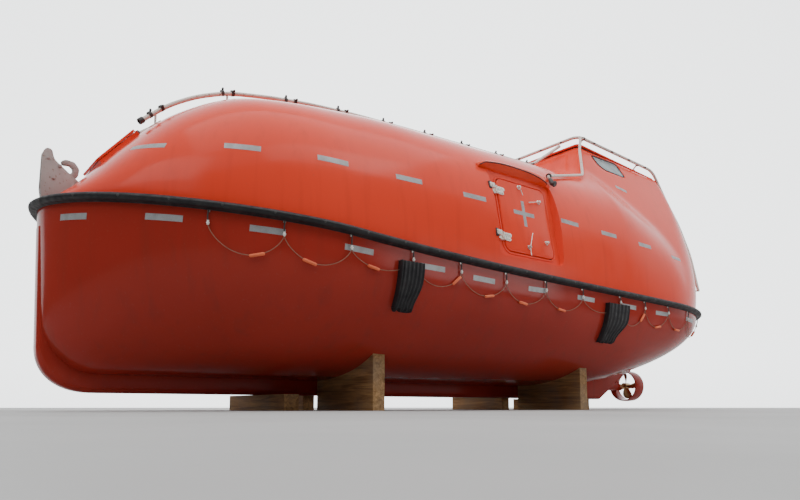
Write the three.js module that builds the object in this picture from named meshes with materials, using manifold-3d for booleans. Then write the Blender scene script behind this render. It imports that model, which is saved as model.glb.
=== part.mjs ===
// Enclosed lifeboat on its timber chocks. Millimetres, +X to the bow, +Y to port, +Z up.
// The origin lies on the ground below the middle of the hull.

import * as THREE from 'three';
import Module from 'manifold-3d';

const wasm = await Module();
wasm.setup();

// Driving dimensions
const HULL_LENGTH = 8500;
const BEAM = 3200;
const TIP = HULL_LENGTH / 2;
const HALF_BEAM = BEAM / 2;
const HULL_WALL = 60;
const CANOPY_WALL = 45;
const GAP = 0.3; // between pieces that touch
const PIN_PLAY = 0.5; // round a hinge pin or shaft, on the radius
const RUNNING_GAP = 6; // between a moving piece and what it passes

// Gunwale line: plan outline with a superellipse at each end, and its height
const BOW = { run: 2026, power: 1.69 };
const STERN = { run: 1573, power: 2.37 };
const SHEER = { middle: 1371.5, slope: 103.6, curve: 94.8, sweep: 111.5 };

// Underside of the hull on its centreline
const BOTTOM = { z: 298, riseFrom: -1800, sternRise: 652, risePower: 1.7 };
const FOREFOOT = { x: 3750, z: 750, reach: 450, power: 2 };
const HULL_POWER = { middle: 2.5, bow: 2.1, bowFrom: 1500, stern: 2.15, sternFrom: -2200 };
const KEEL = { bottom: 150, width: 190, round: 45, foreX: 3400 };
const KEEL_ROUND = { x: 3750, z: 550, reach: 465, power: 2.3, steps: 7 };
const SKEG = { heelX: -3200, topX: -3780, topZ: 480 };

// Crown of the canopy on its centreline, from bow to stern
const CROWN = [
  // x, z
  [4250, 1682],
  [4100, 1795],
  [3950, 1942],
  [3750, 2180],
  [3450, 2495],
  [3200, 2678],
  [2950, 2805],
  [2700, 2868],
  [2200, 2920],
  [1500, 2978],
  [0, 3038],
  [-1500, 3085],
  [-1950, 3060],
  [-2600, 2750],
  [-3300, 2300],
  [-3900, 1750],
  [-4250, 1252],
];
const CANOPY_POWER = { middle: 2.8, bow: 2.2, bowFrom: 1500, stern: 2.8, sternFrom: -2200 };

// Conning tower: level outlines from the gunwale up to the roof. The sides lean in, flat near the
// roof and fair into the hull side below; the aft end grows squarer towards the roof.
const TOWER = {
  frontX: -1950,
  rake: 0.55,
  roofZ: 3500,
  roofHalf: 750,
  roofFall: 0.061,
  sideSlope: 0.485,
  sideFair: 193,
  fairPower: 5.4,
  baseZ: 1350,
  aftLean: 468,
  aftPower: 4.15,
  baseRun: 1625,
  roofRun: 107,
  power: 2.42,
};
const TOWER_LEVELS = [1360, 1700, 2050, 2400, 2700, 2950, 3150, 3300, 3420, 3500];
const ROOF = { lip: 28, thickness: 45 };

// Side doors: a flat panel let into the canopy side, leaning in
const PANEL = { x: -15, z: 1983, y: 1481, lean: 0.178, width: 960, height: 934, slab: 50 };
const DOOR = { width: 745, height: 800, thickness: 35, proud: 15, corner: 75, centreU: 12, centreV: -3 };
const HOOD = { height: 60, depth: 70 };
const HINGE = { v: 255, pin: 6, eye: 12, side: 16, ear: 14, outside: 18 };

// Sections are drawn with this many points from gunwale to centreline
const OUTER_POINTS = 10;
const INNER_POINTS = 6;

const materials = {
  hullRed: { color: 0xb93c24, roughness: 0.35, metalness: 0 },
  canopyRed: { color: 0xd8543a, roughness: 0.3, metalness: 0 },
  rubber: { color: 0x17191c, roughness: 0.7, metalness: 0 },
  steel: { color: 0xb8b6b0, roughness: 0.35, metalness: 0.9 },
  weathered: { color: 0x8d8378, roughness: 0.6, metalness: 0.5 },
  pipeWhite: { color: 0xe6ded0, roughness: 0.45, metalness: 0 },
  glass: { color: 0x7f8f8c, roughness: 0.1, metalness: 0 },
  timber: { color: 0xa8815a, roughness: 0.85, metalness: 0 },
  liner: { color: 0xd9d6cd, roughness: 0.6, metalness: 0 },
  engine: { color: 0x4c5a55, roughness: 0.6, metalness: 0.3 },
  bronze: { color: 0x8a6a3a, roughness: 0.4, metalness: 0.9 },
};

const lifeboat = new THREE.Group();

// Mesh tools

// Merges equal corners and drops triangles without area.
function indexed(points, triangles) {
  const seen = new Map();
  const positions = [];
  const remap = points.map((p) => {
    const key = p.map((c) => Math.round(c * 1000)).join(',');
    if (!seen.has(key)) {
      seen.set(key, positions.length / 3);
      positions.push(...p);
    }
    return seen.get(key);
  });
  const kept = [];
  for (const [a, b, c] of triangles) {
    const t = [remap[a], remap[b], remap[c]];
    if (t[0] !== t[1] && t[1] !== t[2] && t[2] !== t[0]) kept.push(...t);
  }
  return { positions, kept };
}

function signedVolume(positions, kept) {
  let sum = 0;
  const at = (i) => new THREE.Vector3(...positions.slice(3 * i, 3 * i + 3));
  for (let i = 0; i < kept.length; i += 3) {
    const [a, b, c] = [at(kept[i]), at(kept[i + 1]), at(kept[i + 2])];
    sum += a.dot(b.cross(c));
  }
  return sum;
}

function solidFrom(points, triangles) {
  const { positions, kept } = indexed(points, triangles);
  if (signedVolume(positions, kept) < 0) {
    for (let i = 0; i < kept.length; i += 3) [kept[i], kept[i + 1]] = [kept[i + 1], kept[i]];
  }
  return new wasm.Manifold(new wasm.Mesh({
    numProp: 3,
    vertProperties: new Float32Array(positions),
    triVerts: new Uint32Array(kept),
  }));
}

// Skins a list of closed rings; the ends are closed by fans, or the rings close on themselves.
// The second half of each ring is split the other way, so that mirrored rings make mirrored faces.
function loft(rings, closed = false) {
  const n = rings[0].length;
  const points = rings.flat();
  const triangles = [];
  const last = closed ? rings.length : rings.length - 1;
  for (let i = 0; i < last; i += 1) {
    const k = (i + 1) % rings.length;
    for (let j = 0; j < n; j += 1) {
      const m = (j + 1) % n;
      const [p, q, r, s] = [i * n + j, i * n + m, k * n + m, k * n + j];
      if (2 * j < n - 1) triangles.push([p, q, r], [p, r, s]);
      else triangles.push([p, q, s], [q, r, s]);
    }
  }
  if (!closed) {
    for (const [i, flip] of [[0, true], [rings.length - 1, false]]) {
      const centre = points.length;
      const mean = [0, 1, 2].map((c) => rings[i].reduce((s, p) => s + p[c], 0) / n);
      points.push(mean);
      for (let j = 0; j < n; j += 1) {
        const m = (j + 1) % n;
        triangles.push(flip ? [i * n + m, i * n + j, centre] : [i * n + j, i * n + m, centre]);
      }
    }
  }
  return solidFrom(points, triangles);
}

function fromGeometry(geometry, matrix = new THREE.Matrix4()) {
  const moved = geometry.clone().applyMatrix4(matrix);
  const p = moved.getAttribute('position');
  const points = Array.from({ length: p.count }, (_, i) => [p.getX(i), p.getY(i), p.getZ(i)]);
  const index = moved.index ? Array.from(moved.index.array) : points.map((_, i) => i);
  const triangles = [];
  for (let i = 0; i < index.length; i += 3) triangles.push([index[i], index[i + 1], index[i + 2]]);
  return solidFrom(points, triangles);
}

function toGeometry(solid) {
  const mesh = solid.getMesh();
  const geometry = new THREE.BufferGeometry();
  geometry.setAttribute('position', new THREE.BufferAttribute(mesh.vertProperties, 3));
  geometry.setIndex(new THREE.BufferAttribute(mesh.triVerts, 1));
  geometry.computeVertexNormals();
  return geometry;
}

function mirrored(solid) {
  const mesh = solid.getMesh();
  const points = [];
  for (let i = 0; i < mesh.vertProperties.length; i += 3) {
    points.push([mesh.vertProperties[i], -mesh.vertProperties[i + 1], mesh.vertProperties[i + 2]]);
  }
  const triangles = [];
  for (let i = 0; i < mesh.triVerts.length; i += 3) {
    triangles.push([mesh.triVerts[i], mesh.triVerts[i + 1], mesh.triVerts[i + 2]]);
  }
  return solidFrom(points, triangles);
}

function add(name, solid, material) {
  const mesh = new THREE.Mesh(toGeometry(solid), new THREE.MeshStandardMaterial(materials[material]));
  mesh.name = name;
  lifeboat.add(mesh);
  return mesh;
}

function addBothSides(name, solid, material) {
  add(`${name}_port`, solid, material);
  add(`${name}_starboard`, mirrored(solid), material);
}

// A box between two corners
function block(low, high, matrix) {
  const size = high.map((h, i) => h - low[i]);
  const geometry = new THREE.BoxGeometry(...size);
  geometry.translate(...low.map((l, i) => l + size[i] / 2));
  return fromGeometry(geometry, matrix);
}

// A cylinder along local z, from z0 to z1
function rod(x, y, z0, z1, radius, sides = 16, matrix = new THREE.Matrix4()) {
  const geometry = new THREE.CylinderGeometry(radius, radius, z1 - z0, sides);
  geometry.rotateX(Math.PI / 2);
  geometry.translate(x, y, (z0 + z1) / 2);
  return fromGeometry(geometry, matrix);
}

function roundedRectangle(width, height, corner) {
  const [x, y] = [width / 2, height / 2];
  const shape = new THREE.Shape();
  shape.moveTo(-x + corner, -y);
  shape.lineTo(x - corner, -y);
  shape.absarc(x - corner, -y + corner, corner, -Math.PI / 2, 0);
  shape.lineTo(x, y - corner);
  shape.absarc(x - corner, y - corner, corner, 0, Math.PI / 2);
  shape.lineTo(-x + corner, y);
  shape.absarc(-x + corner, y - corner, corner, Math.PI / 2, Math.PI);
  shape.lineTo(-x, -y + corner);
  shape.absarc(-x + corner, -y + corner, corner, Math.PI, 1.5 * Math.PI);
  return shape;
}

// A shape in local x and y, pushed from z0 to z1
function plate(shape, z0, z1, matrix = new THREE.Matrix4(), curveSegments = 3) {
  const geometry = new THREE.ExtrudeGeometry(shape, { depth: z1 - z0, bevelEnabled: false, curveSegments });
  geometry.translate(0, 0, z0);
  return fromGeometry(geometry, matrix);
}

// An outline in side view, x and z, pushed from y0 to y1
function sideProfile(outline, y0, y1) {
  const shape = new THREE.Shape(outline.map(([x, z]) => new THREE.Vector2(x, z)));
  const upright = new THREE.Matrix4().makeBasis(
    new THREE.Vector3(1, 0, 0),
    new THREE.Vector3(0, 0, 1),
    new THREE.Vector3(0, -1, 0),
  );
  return plate(shape, -y1, -y0, upright);
}

// A round pipe through a list of points, with its bends rounded
function pipe(points, radius, sides, bend) {
  const path = new THREE.CurvePath();
  const corners = points.map((p) => new THREE.Vector3(...p));
  let from = corners[0];
  for (let i = 1; i < corners.length - 1; i += 1) {
    const corner = corners[i];
    const room = Math.min(bend, from.distanceTo(corner) * 0.45, corner.distanceTo(corners[i + 1]) * 0.45);
    const before = corner.clone().addScaledVector(from.clone().sub(corner).normalize(), room);
    const after = corner.clone().addScaledVector(corners[i + 1].clone().sub(corner).normalize(), room);
    path.add(new THREE.LineCurve3(from, before));
    path.add(new THREE.QuadraticBezierCurve3(before, corner, after));
    from = after;
  }
  path.add(new THREE.LineCurve3(from, corners.at(-1)));
  const centres = [path.curves[0].getPoint(0)];
  for (const curve of path.curves) {
    const steps = curve.isLineCurve3 ? 1 : 2;
    for (let i = 1; i <= steps; i += 1) centres.push(curve.getPoint(i / steps));
  }
  return tube(centres, radius, sides);
}

// Round rings carried along a list of centres without twist
function tube(centres, radius, sides) {
  const rings = [];
  let side = null;
  centres.forEach((c, i) => {
    const ahead = centres[Math.min(i + 1, centres.length - 1)].clone();
    const tangent = ahead.sub(centres[Math.max(i - 1, 0)]).normalize();
    if (!side) side = Math.abs(tangent.z) < 0.9 ? new THREE.Vector3(0, 0, 1) : new THREE.Vector3(1, 0, 0);
    side = side.clone().addScaledVector(tangent, -side.dot(tangent)).normalize();
    const other = tangent.clone().cross(side);
    rings.push(Array.from({ length: sides }, (_, k) => {
      const a = (2 * Math.PI * k) / sides;
      const p = c.clone().addScaledVector(side, radius * Math.cos(a));
      return p.addScaledVector(other, radius * Math.sin(a)).toArray();
    }));
  });
  return loft(rings);
}

// Hull and canopy lines

const blendTo = (x, from, to, a, b) => a + (b - a) * THREE.MathUtils.clamp((x - from) / (to - from), 0, 1);

function halfBeamAt(x, inset = 0) {
  const half = HALF_BEAM - inset;
  const end = x > 0 ? BOW : STERN;
  const u = (Math.abs(x) - (TIP - inset - end.run)) / end.run;
  if (u <= 0) return half;
  return half * Math.max(0, 1 - Math.min(u, 1) ** end.power) ** (1 / end.power);
}

function sheerAt(x) {
  const u = x / TIP;
  return SHEER.middle + SHEER.slope * u + SHEER.curve * u ** 2 + SHEER.sweep * u ** 3;
}

function bottomAt(x, inset = 0) {
  const stemX = FOREFOOT.x + FOREFOOT.reach - inset;
  const drop = FOREFOOT.z - BOTTOM.z;
  if (x >= stemX) return blendTo(x, stemX, TIP - inset, FOREFOOT.z, sheerAt(TIP)) + inset;
  if (x > FOREFOOT.x) {
    const u = (x - FOREFOOT.x) / (stemX - FOREFOOT.x);
    return FOREFOOT.z + inset - drop * (1 - u ** FOREFOOT.power) ** (1 / FOREFOOT.power);
  }
  const u = Math.max(0, (BOTTOM.riseFrom - x) / (TIP + BOTTOM.riseFrom));
  return BOTTOM.z + inset + BOTTOM.sternRise * u ** BOTTOM.risePower;
}

const crownCurve = new THREE.SplineCurve(CROWN.map(([x, z]) => new THREE.Vector2(x, z)));
const crownLine = crownCurve.getPoints(160);
function crownAt(x) {
  const i = crownLine.findIndex((p) => p.x <= x);
  if (i <= 0) return crownLine[i < 0 ? crownLine.length - 1 : 0].y;
  const [a, b] = [crownLine[i - 1], crownLine[i]];
  return a.y + ((b.y - a.y) * (a.x - x)) / (a.x - b.x);
}

// Places of the cross sections, closer together where the ends round off
function stations(inset = 0) {
  const xs = [];
  const arc = (end, sign, steps) => {
    for (let i = steps; i >= 0; i -= 1) {
      const u = Math.sin((i / steps) * (Math.PI / 2)) ** (2 / end.power);
      xs.push(sign * (TIP - inset - end.run + end.run * u));
    }
  };
  arc(BOW, 1, 10);
  xs.push(1500, 500, -500, -1500, -2100);
  const bowPart = xs.splice(0);
  arc(STERN, -1, 8);
  return [...bowPart, ...xs.reverse()];
}

// One cross section from the port gunwale to the starboard one. A skirt carries it past the gunwale.
function section(x, half, base, tip, power, skirt, points) {
  const ring = [];
  const e = 2 / power;
  const rise = tip - base;
  for (let k = 0; k <= 2 * points; k += 1) {
    const a = (k / (2 * points)) * Math.PI;
    const y = half * Math.sign(Math.cos(a)) * Math.abs(Math.cos(a)) ** e;
    ring.push([x, k === points ? 0 : y, base + rise * Math.abs(Math.sin(a)) ** e]);
  }
  if (skirt) {
    ring.unshift([x, half, base + skirt]);
    ring.push([x, -half, base + skirt]);
  }
  return ring;
}

// Sections are boxier amidships than at the ends
function powerAt(x, { middle, bow, bowFrom, stern, sternFrom }) {
  if (x > 0) return blendTo(x, bowFrom, TIP, middle, bow);
  return blendTo(x, sternFrom, -TIP, middle, stern);
}

function hullSolid(inset, skirt = 0, points = OUTER_POINTS) {
  const rings = stations(inset).map((x) => {
    const base = sheerAt(x) - GAP / 2;
    const tip = Math.min(bottomAt(x, inset), base);
    return section(x, halfBeamAt(x, inset), base, tip, powerAt(x, HULL_POWER), skirt, points);
  });
  return loft(rings);
}

function canopySolid(inset, skirt = 0, points = OUTER_POINTS) {
  const rings = stations(inset).map((x) => {
    const base = sheerAt(x) + GAP / 2;
    const tip = Math.max(crownAt(x) - inset, base);
    return section(x, halfBeamAt(x, inset), base, tip, powerAt(x, CANOPY_POWER), skirt, points);
  });
  return loft(rings);
}

// Half width, aft end and aft rounding of the conning tower at one level
function towerAt(z) {
  const height = TOWER.roofZ - TOWER.baseZ;
  const below = TOWER.roofZ - z;
  const t = THREE.MathUtils.clamp(1 - below / height, 0, 1);
  const fair = TOWER.sideFair * (below / height) ** TOWER.fairPower;
  return {
    half: TOWER.roofHalf + TOWER.sideSlope * below - fair,
    front: TOWER.frontX + TOWER.rake * below,
    aft: -TIP + 1 + TOWER.aftLean * t ** TOWER.aftPower,
    run: TOWER.baseRun + (TOWER.roofRun - TOWER.baseRun) * t,
    fall: TOWER.roofFall * t ** 4,
  };
}

function towerRing(z, inset) {
  const level = towerAt(z);
  const half = level.half - inset;
  const front = level.front - inset;
  const bend = level.aft + level.run;
  const run = level.run - inset;
  const ring = [];
  for (let i = 0; i < 3; i += 1) ring.push([front + ((bend - front) * i) / 3, half]);
  const steps = 7;
  for (let i = 0; i <= 2 * steps; i += 1) {
    const a = (i / (2 * steps)) * Math.PI;
    const e = 2 / TOWER.power;
    const y = half * Math.sign(Math.cos(a)) * Math.abs(Math.cos(a)) ** e;
    ring.push([bend - run * Math.sin(a) ** e, i === steps ? 0 : y]);
  }
  for (let i = 2; i >= 0; i -= 1) ring.push([front + ((bend - front) * i) / 3, -half]);
  return ring.map(([x, y]) => [x, y, z + level.fall * (x - TOWER.frontX)]);
}

function towerSolid(inset, bottomDrop = 0) {
  const rings = TOWER_LEVELS.map((z) => towerRing(z, inset));
  const lowest = rings[0].map(([x, y, z]) => [x, y, z - bottomDrop]);
  return loft([lowest, ...rings.slice(1, -1), rings.at(-1).map(([x, y, z]) => [x, y, z - inset])]);
}

// Local frame of a side door: x aft, y up the panel, z outboard
function panelFrame() {
  const angle = Math.atan(PANEL.lean);
  const up = new THREE.Vector3(0, -Math.sin(angle), Math.cos(angle));
  const out = new THREE.Vector3(0, Math.cos(angle), Math.sin(angle));
  const m = new THREE.Matrix4().makeBasis(new THREE.Vector3(-1, 0, 0), up, out);
  return m.setPosition(PANEL.x, PANEL.y, PANEL.z);
}

// Local frame on a surface: x along it, y across, z out of it
function surfaceFrame(origin, along, out) {
  const z = new THREE.Vector3(...out).normalize();
  const x = new THREE.Vector3(...along).addScaledVector(z, -z.dot(new THREE.Vector3(...along))).normalize();
  return new THREE.Matrix4().makeBasis(x, z.clone().cross(x), z).setPosition(...origin);
}

// A rod along local y
function crossRod(x, z, y0, y1, radius, matrix, sides = 12) {
  const geometry = new THREE.CylinderGeometry(radius, radius, y1 - y0, sides);
  geometry.translate(x, (y0 + y1) / 2, z);
  return fromGeometry(geometry, matrix);
}

const union = (first, ...others) => others.reduce((sum, s) => sum.add(s), first);

// A strap hinge. The pin runs along local y above the origin, the leaf lies towards +x.
// Half is half its length, base the far edge of the bracket that stays put.
function hinge(matrix, { height, strapFrom, strap, base, half }) {
  const eyeHalf = half - HINGE.side;
  const strapSolid = union(
    block([0, -eyeHalf + 2, strapFrom], [strap, eyeHalf - 2, strapFrom + 7], matrix),
    crossRod(0, height, -eyeHalf, eyeHalf, HINGE.eye, matrix),
  ).subtract(crossRod(0, height, -half, half, HINGE.pin + PIN_PLAY, matrix));
  const ears = [-1, 1].map((side) => {
    const [y0, y1] = side < 0 ? [-half, -half + HINGE.ear] : [half - HINGE.ear, half];
    return union(
      block([-40, y0, GAP], [0, y1, height], matrix),
      crossRod(0, height, y0, y1, HINGE.eye, matrix),
    );
  });
  const bracket = union(
    block([base, -half, GAP], [-22, half, 9], matrix),
    ...ears,
    crossRod(0, height, -half, half, HINGE.pin, matrix),
  );
  return { strapSolid, bracket };
}

// Hull with its keel, skeg and stem band
const hullOuter = hullSolid(0);
const keelRound = Array.from({ length: KEEL_ROUND.steps + 1 }, (_, i) => {
  const a = (i / KEEL_ROUND.steps) * (Math.PI / 2);
  const e = 2 / KEEL_ROUND.power;
  return [
    KEEL_ROUND.x + KEEL_ROUND.reach * Math.abs(Math.cos(a)) ** e,
    KEEL_ROUND.z - (KEEL_ROUND.z - KEEL.bottom) * Math.sin(a) ** e,
  ];
});
const keelOutline = [
  // x, z
  [TIP - 4, 1500],
  ...keelRound,
  [SKEG.heelX, KEEL.bottom],
  [SKEG.topX, SKEG.topZ],
  [SKEG.topX - 70, 800],
  [-2400, 420],
  [3300, 420],
  [3700, 480],
  [4000, 900],
  [4120, 1500],
];
function keelBand() {
  const round = KEEL.round;
  const shape = new THREE.Shape(keelOutline.map(([x, z]) => new THREE.Vector2(x, z)));
  const geometry = new THREE.ExtrudeGeometry(shape, {
    depth: KEEL.width - 2 * round,
    bevelThickness: round,
    bevelSize: round,
    bevelOffset: -round,
    bevelSegments: 2,
  });
  geometry.translate(0, 0, -KEEL.width / 2 + round);
  geometry.rotateX(Math.PI / 2);
  return fromGeometry(geometry);
}
const SHAFT = { z: 360, radius: 22, tube: 75, from: -2400, to: -4060 };
const NOZZLE = { x: -4010, inner: 205, outer: 235, half: 110, stock: 28, stockTop: 1000 };
const hullInner = hullSolid(HULL_WALL, 80, INNER_POINTS);
const acrossX = new THREE.Matrix4().makeRotationY(Math.PI / 2);
function alongX(x0, x1, z, radius, sides = 16) {
  return rod(0, 0, x0, x1, radius, sides, acrossX.clone().setPosition(0, 0, z));
}
const sternTube = alongX(SKEG.topX + 60, -2600, SHAFT.z, SHAFT.tube);
const shaftBore = alongX(SHAFT.to, -2000, SHAFT.z, SHAFT.radius + PIN_PLAY, 24);
const bowSide = block([KEEL.foreX + GAP, -200, 0], [TIP + 100, 200, 2000]);
const hull = union(hullOuter, keelBand().intersect(bowSide))
  .subtract(hullInner)
  .add(sternTube.intersect(hullOuter))
  .subtract(shaftBore)
  .subtract(rod(NOZZLE.x, 0, 500, 1200, NOZZLE.stock + PIN_PLAY, 24));
add('hull', hull, 'hullRed');
const keelSide = block([-TIP, -200, 0], [KEEL.foreX, 200, 2000]);
const keel = keelBand().intersect(keelSide).add(sternTube).subtract(hullSolid(-GAP)).subtract(shaftBore);
add('keel', keel, 'hullRed');

// Canopy with the conning tower, door panels and hatch rims
const canopyOuter = canopySolid(0).add(towerSolid(0));
const canopyClear = canopySolid(-GAP).add(towerSolid(-GAP));
const canopyInner = canopySolid(CANOPY_WALL, -80, INNER_POINTS).add(towerSolid(CANOPY_WALL, 320));
const frame = panelFrame();
const doorPlace = frame.clone().multiply(new THREE.Matrix4().makeTranslation(DOOR.centreU, DOOR.centreV, 0));
const leafShape = roundedRectangle(DOOR.width, DOOR.height, DOOR.corner);
const rebateShape = roundedRectangle(
  DOOR.width + 2 * RUNNING_GAP,
  DOOR.height + 2 * RUNNING_GAP,
  DOOR.corner + RUNNING_GAP,
);
const doorwayShape = roundedRectangle(DOOR.width - 80, DOOR.height - 80, DOOR.corner);
const leafInner = DOOR.proud - DOOR.thickness;

function hoodSolid() {
  // Across the hood: up the panel, out of it. Along it: place, depth as a share of the profile.
  const profile = [[-20, -35], [-20, 60], [-8, HOOD.depth], [HOOD.height, 42], [HOOD.height + 25, -35]];
  const spans = [[-560, 0.55], [-530, 1], [-50, 1.1], [430, 1], [460, 0.55]];
  const foot = PANEL.height / 2 + 5;
  return loft(spans.map(([u, scale]) => profile.map(([v, n]) => (
    new THREE.Vector3(u, foot + v, n > 0 ? n * scale : n).applyMatrix4(frame).toArray()
  ))));
}
const doorSlab = block([-520, -495, -PANEL.slab], [520, 495, 160], frame);
const surround = (gap) => (
  block([-580 - gap, -495 - gap, -200], [520 + gap, 580 + gap, 260], frame)
);
const doorCuts = union(
  plate(roundedRectangle(PANEL.width, PANEL.height, 60), 0, 260, frame),
  plate(rebateShape, leafInner - RUNNING_GAP, 40, doorPlace),
  plate(doorwayShape, -120, 40, doorPlace),
);
const hood = hoodSolid();

// Conning tower windows, each a local frame with its outline, drawn anticlockwise
const sideAngle = Math.atan(TOWER.sideSlope);
const sideOut = [0, Math.cos(sideAngle), Math.sin(sideAngle)];
const rakeAngle = Math.atan(TOWER.rake);
const frontOut = [Math.cos(rakeAngle), 0, Math.sin(rakeAngle)];
const onSide = (x, below) => [x, TOWER.roofHalf + TOWER.sideSlope * below, TOWER.roofZ - below];
const onFront = (y, below) => [TOWER.frontX + TOWER.rake * below, y, TOWER.roofZ - below];
const WINDOWS = {
  side: {
    frame: surfaceFrame(onSide(-2480, 155), [-1, 0, 0], sideOut),
    outline: [[-130, -140], [300, -150], [325, -130], [265, 90], [-270, 85], [-285, 60], [-245, -60]],
  },
  front: {
    frame: surfaceFrame(onFront(-280, 135), [0, -1, 0], frontOut),
    outline: [
      [-220, -95], [220, -95], [250, -65], [250, 65],
      [220, 90], [-220, 90], [-250, 65], [-250, -65],
    ],
  },
};
// The outline moved inwards, each corner staying on the line that halves it
function insetOutline(outline, inset) {
  const corners = outline.map(([x, y]) => new THREE.Vector2(x, y));
  return corners.map((corner, i) => {
    const before = corner.clone().sub(corners.at(i - 1)).normalize();
    const after = corners[(i + 1) % corners.length].clone().sub(corner).normalize();
    const inward = new THREE.Vector2(-before.y - after.y, before.x + after.x);
    return corner.clone().addScaledVector(inward, (2 * inset) / inward.lengthSq());
  });
}
const windowShape = ({ outline }, shrink = 0) => new THREE.Shape(insetOutline(outline, shrink));
const windowCut = (w) => plate(windowShape(w), -90, 60, w.frame);
const windowPane = (w) => plate(windowShape(w, GAP), -20, -8, w.frame);

// Fore hatch on the bow slope, its frame pointing down the slope
const HATCH_RIM = 18;
const foreFrame = surfaceFrame([3700, 0, crownAt(3700)], [0.65, 0, -0.76], [0.76, 0, 0.65]);
const TOP_HATCH_X = -2820;
const topHatchZ = TOWER.roofZ + ROOF.thickness + TOWER.roofFall * (TOP_HATCH_X - TOWER.frontX);
const topFrame = surfaceFrame([TOP_HATCH_X, 0, topHatchZ], [-1, 0, 0], [-TOWER.roofFall, 0, 1]);
const foreRim = (gap) => (
  block([-220 - gap, -260 - gap, -110], [220 + gap, 260 + gap, HATCH_RIM], foreFrame)
);
const foreOpening = block([-175, -215, -300], [175, 215, 60], foreFrame);

// Recess in the stern for the aft hook, with a door to reach it
const WELL = { x: -3640, half: 290, floor: 1760, top: 2790, wall: 45 };
const wellBlock = (gap) => block(
  [-TIP - 1, -WELL.half - WELL.wall - gap, WELL.floor - WELL.wall - gap],
  [WELL.x + WELL.wall + gap, WELL.half + WELL.wall + gap, WELL.top + WELL.wall + gap],
);
const wellCut = block([-TIP - 200, -WELL.half, WELL.floor], [WELL.x, WELL.half, WELL.top]);
const wellFrame = surfaceFrame([WELL.x, 0, 2450], [0, 0, -1], [-1, 0, 0]);
const wellDoorway = plate(roundedRectangle(350, 350, 50), -60, 1, wellFrame);

// The canopy shell, taken apart into its bow, middle, conning tower, door surrounds and stern recess
const RIM = { half: 280, wall: 30, height: 60 };
const roofOpening = block([-3500, -600, 3300], [-2150, 600, 3600]);
const shell = canopyOuter
  .add(hood)
  .add(mirrored(hood))
  .subtract(canopyInner.subtract(wellBlock(0)).subtract(doorSlab).subtract(mirrored(doorSlab)))
  .subtract(doorCuts)
  .subtract(mirrored(doorCuts))
  .subtract(wellCut)
  .subtract(wellDoorway)
  .subtract(roofOpening)
  .subtract(windowCut(WINDOWS.side))
  .subtract(mirrored(windowCut(WINDOWS.side)))
  .subtract(windowCut(WINDOWS.front));
const SPLIT = { bow: 1000, tower: -1690 };
const slice = (x0, x1) => block([x0, -2000, 1000], [x1, 2000, 4000]);
const skin = shell
  .subtract(surround(GAP))
  .subtract(mirrored(surround(GAP)))
  .subtract(wellBlock(GAP))
  .subtract(block([-221, -261, -200], [221, 261, 100], foreFrame));
add('canopy_bow', skin.intersect(slice(SPLIT.bow + GAP, TIP + 100)), 'canopyRed');
add('canopy_middle', skin.intersect(slice(SPLIT.tower + GAP, SPLIT.bow)), 'canopyRed');
add('conning_tower', skin.intersect(slice(-TIP - 100, SPLIT.tower)), 'canopyRed');
addBothSides('door_surround', shell.intersect(surround(0)), 'canopyRed');
add('stern_recess', shell.intersect(wellBlock(0)), 'canopyRed');
add('fore_hatch_rim', foreRim(0).subtract(foreOpening), 'canopyRed');
addBothSides('tower_side_window', windowPane(WINDOWS.side), 'glass');
add('tower_front_window', windowPane(WINDOWS.front), 'glass');

// Roof moulding of the conning tower, and the rim of the hatch in it
function roofSolid(gap = 0) {
  // Height above the tower, inset
  const layers = [
    [GAP - gap, -ROOF.lip - gap],
    [25 + gap, -ROOF.lip - gap],
    [ROOF.thickness + gap, 20 - gap],
  ];
  return loft(layers.map(([up, inset]) => (
    towerRing(TOWER.roofZ, inset).map(([x, y, z]) => [x, y, z + up])
  )));
}
function rimBlock(gap, from = -ROOF.thickness, to = RIM.height) {
  const half = RIM.half + gap;
  return block([-half, -half, from], [half, half, to], topFrame);
}
const hatchInRoof = rimBlock(-RIM.wall, -200, 120);
const roof = roofSolid().subtract(rimBlock(GAP));
add('top_hatch_rim', rimBlock(0).subtract(hatchInRoof), 'canopyRed');
add('tower_roof', roof, 'canopyRed');

// Hatch lids and doors, each with its hinges
const topHinge = topFrame.clone().multiply(new THREE.Matrix4().makeTranslation(-RIM.half - 30, 0, 0));
const lidFrom = RIM.height + RUNNING_GAP;
const topParts = hinge(topHinge, {
  height: lidFrom + 12,
  strapFrom: lidFrom + 4,
  strap: 180,
  base: -70,
  half: 45,
});
add('top_hatch', union(
  plate(roundedRectangle(2 * RIM.half + 20, 2 * RIM.half + 20, 50), lidFrom, lidFrom + 25, topFrame),
  topParts.strapSolid,
), 'canopyRed');
add('top_hatch_hinge', topParts.bracket, 'steel');

const foreLid = HATCH_RIM + RUNNING_GAP;
const foreHinge = foreFrame.clone().multiply(new THREE.Matrix4().makeTranslation(-250, 0, 0));
const foreParts = hinge(foreHinge, {
  height: foreLid + 12,
  strapFrom: foreLid + 4,
  strap: 160,
  base: -60,
  half: 45,
});
add('fore_hatch', union(
  plate(roundedRectangle(450, 530, 50), foreLid, foreLid + 20, foreFrame),
  foreParts.strapSolid,
), 'canopyRed');
const foreBracket = foreParts.bracket
  .add(block([-60, -45, -60], [-22, 45, 4], foreHinge))
  .subtract(canopyClear)
  .subtract(foreRim(GAP));
add('fore_hatch_hinge', foreBracket, 'steel');

const wellHinge = wellFrame.clone().multiply(new THREE.Matrix4().makeTranslation(-230, 0, 0));
const wellParts = hinge(wellHinge, { height: 21, strapFrom: 15, strap: 150, base: -70, half: 42 });
add('aft_hatch', union(
  plate(roundedRectangle(400, 400, 60), RUNNING_GAP, RUNNING_GAP + 18, wellFrame),
  wellParts.strapSolid,
), 'canopyRed');
add('aft_hatch_hinge', wellParts.bracket, 'steel');

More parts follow.
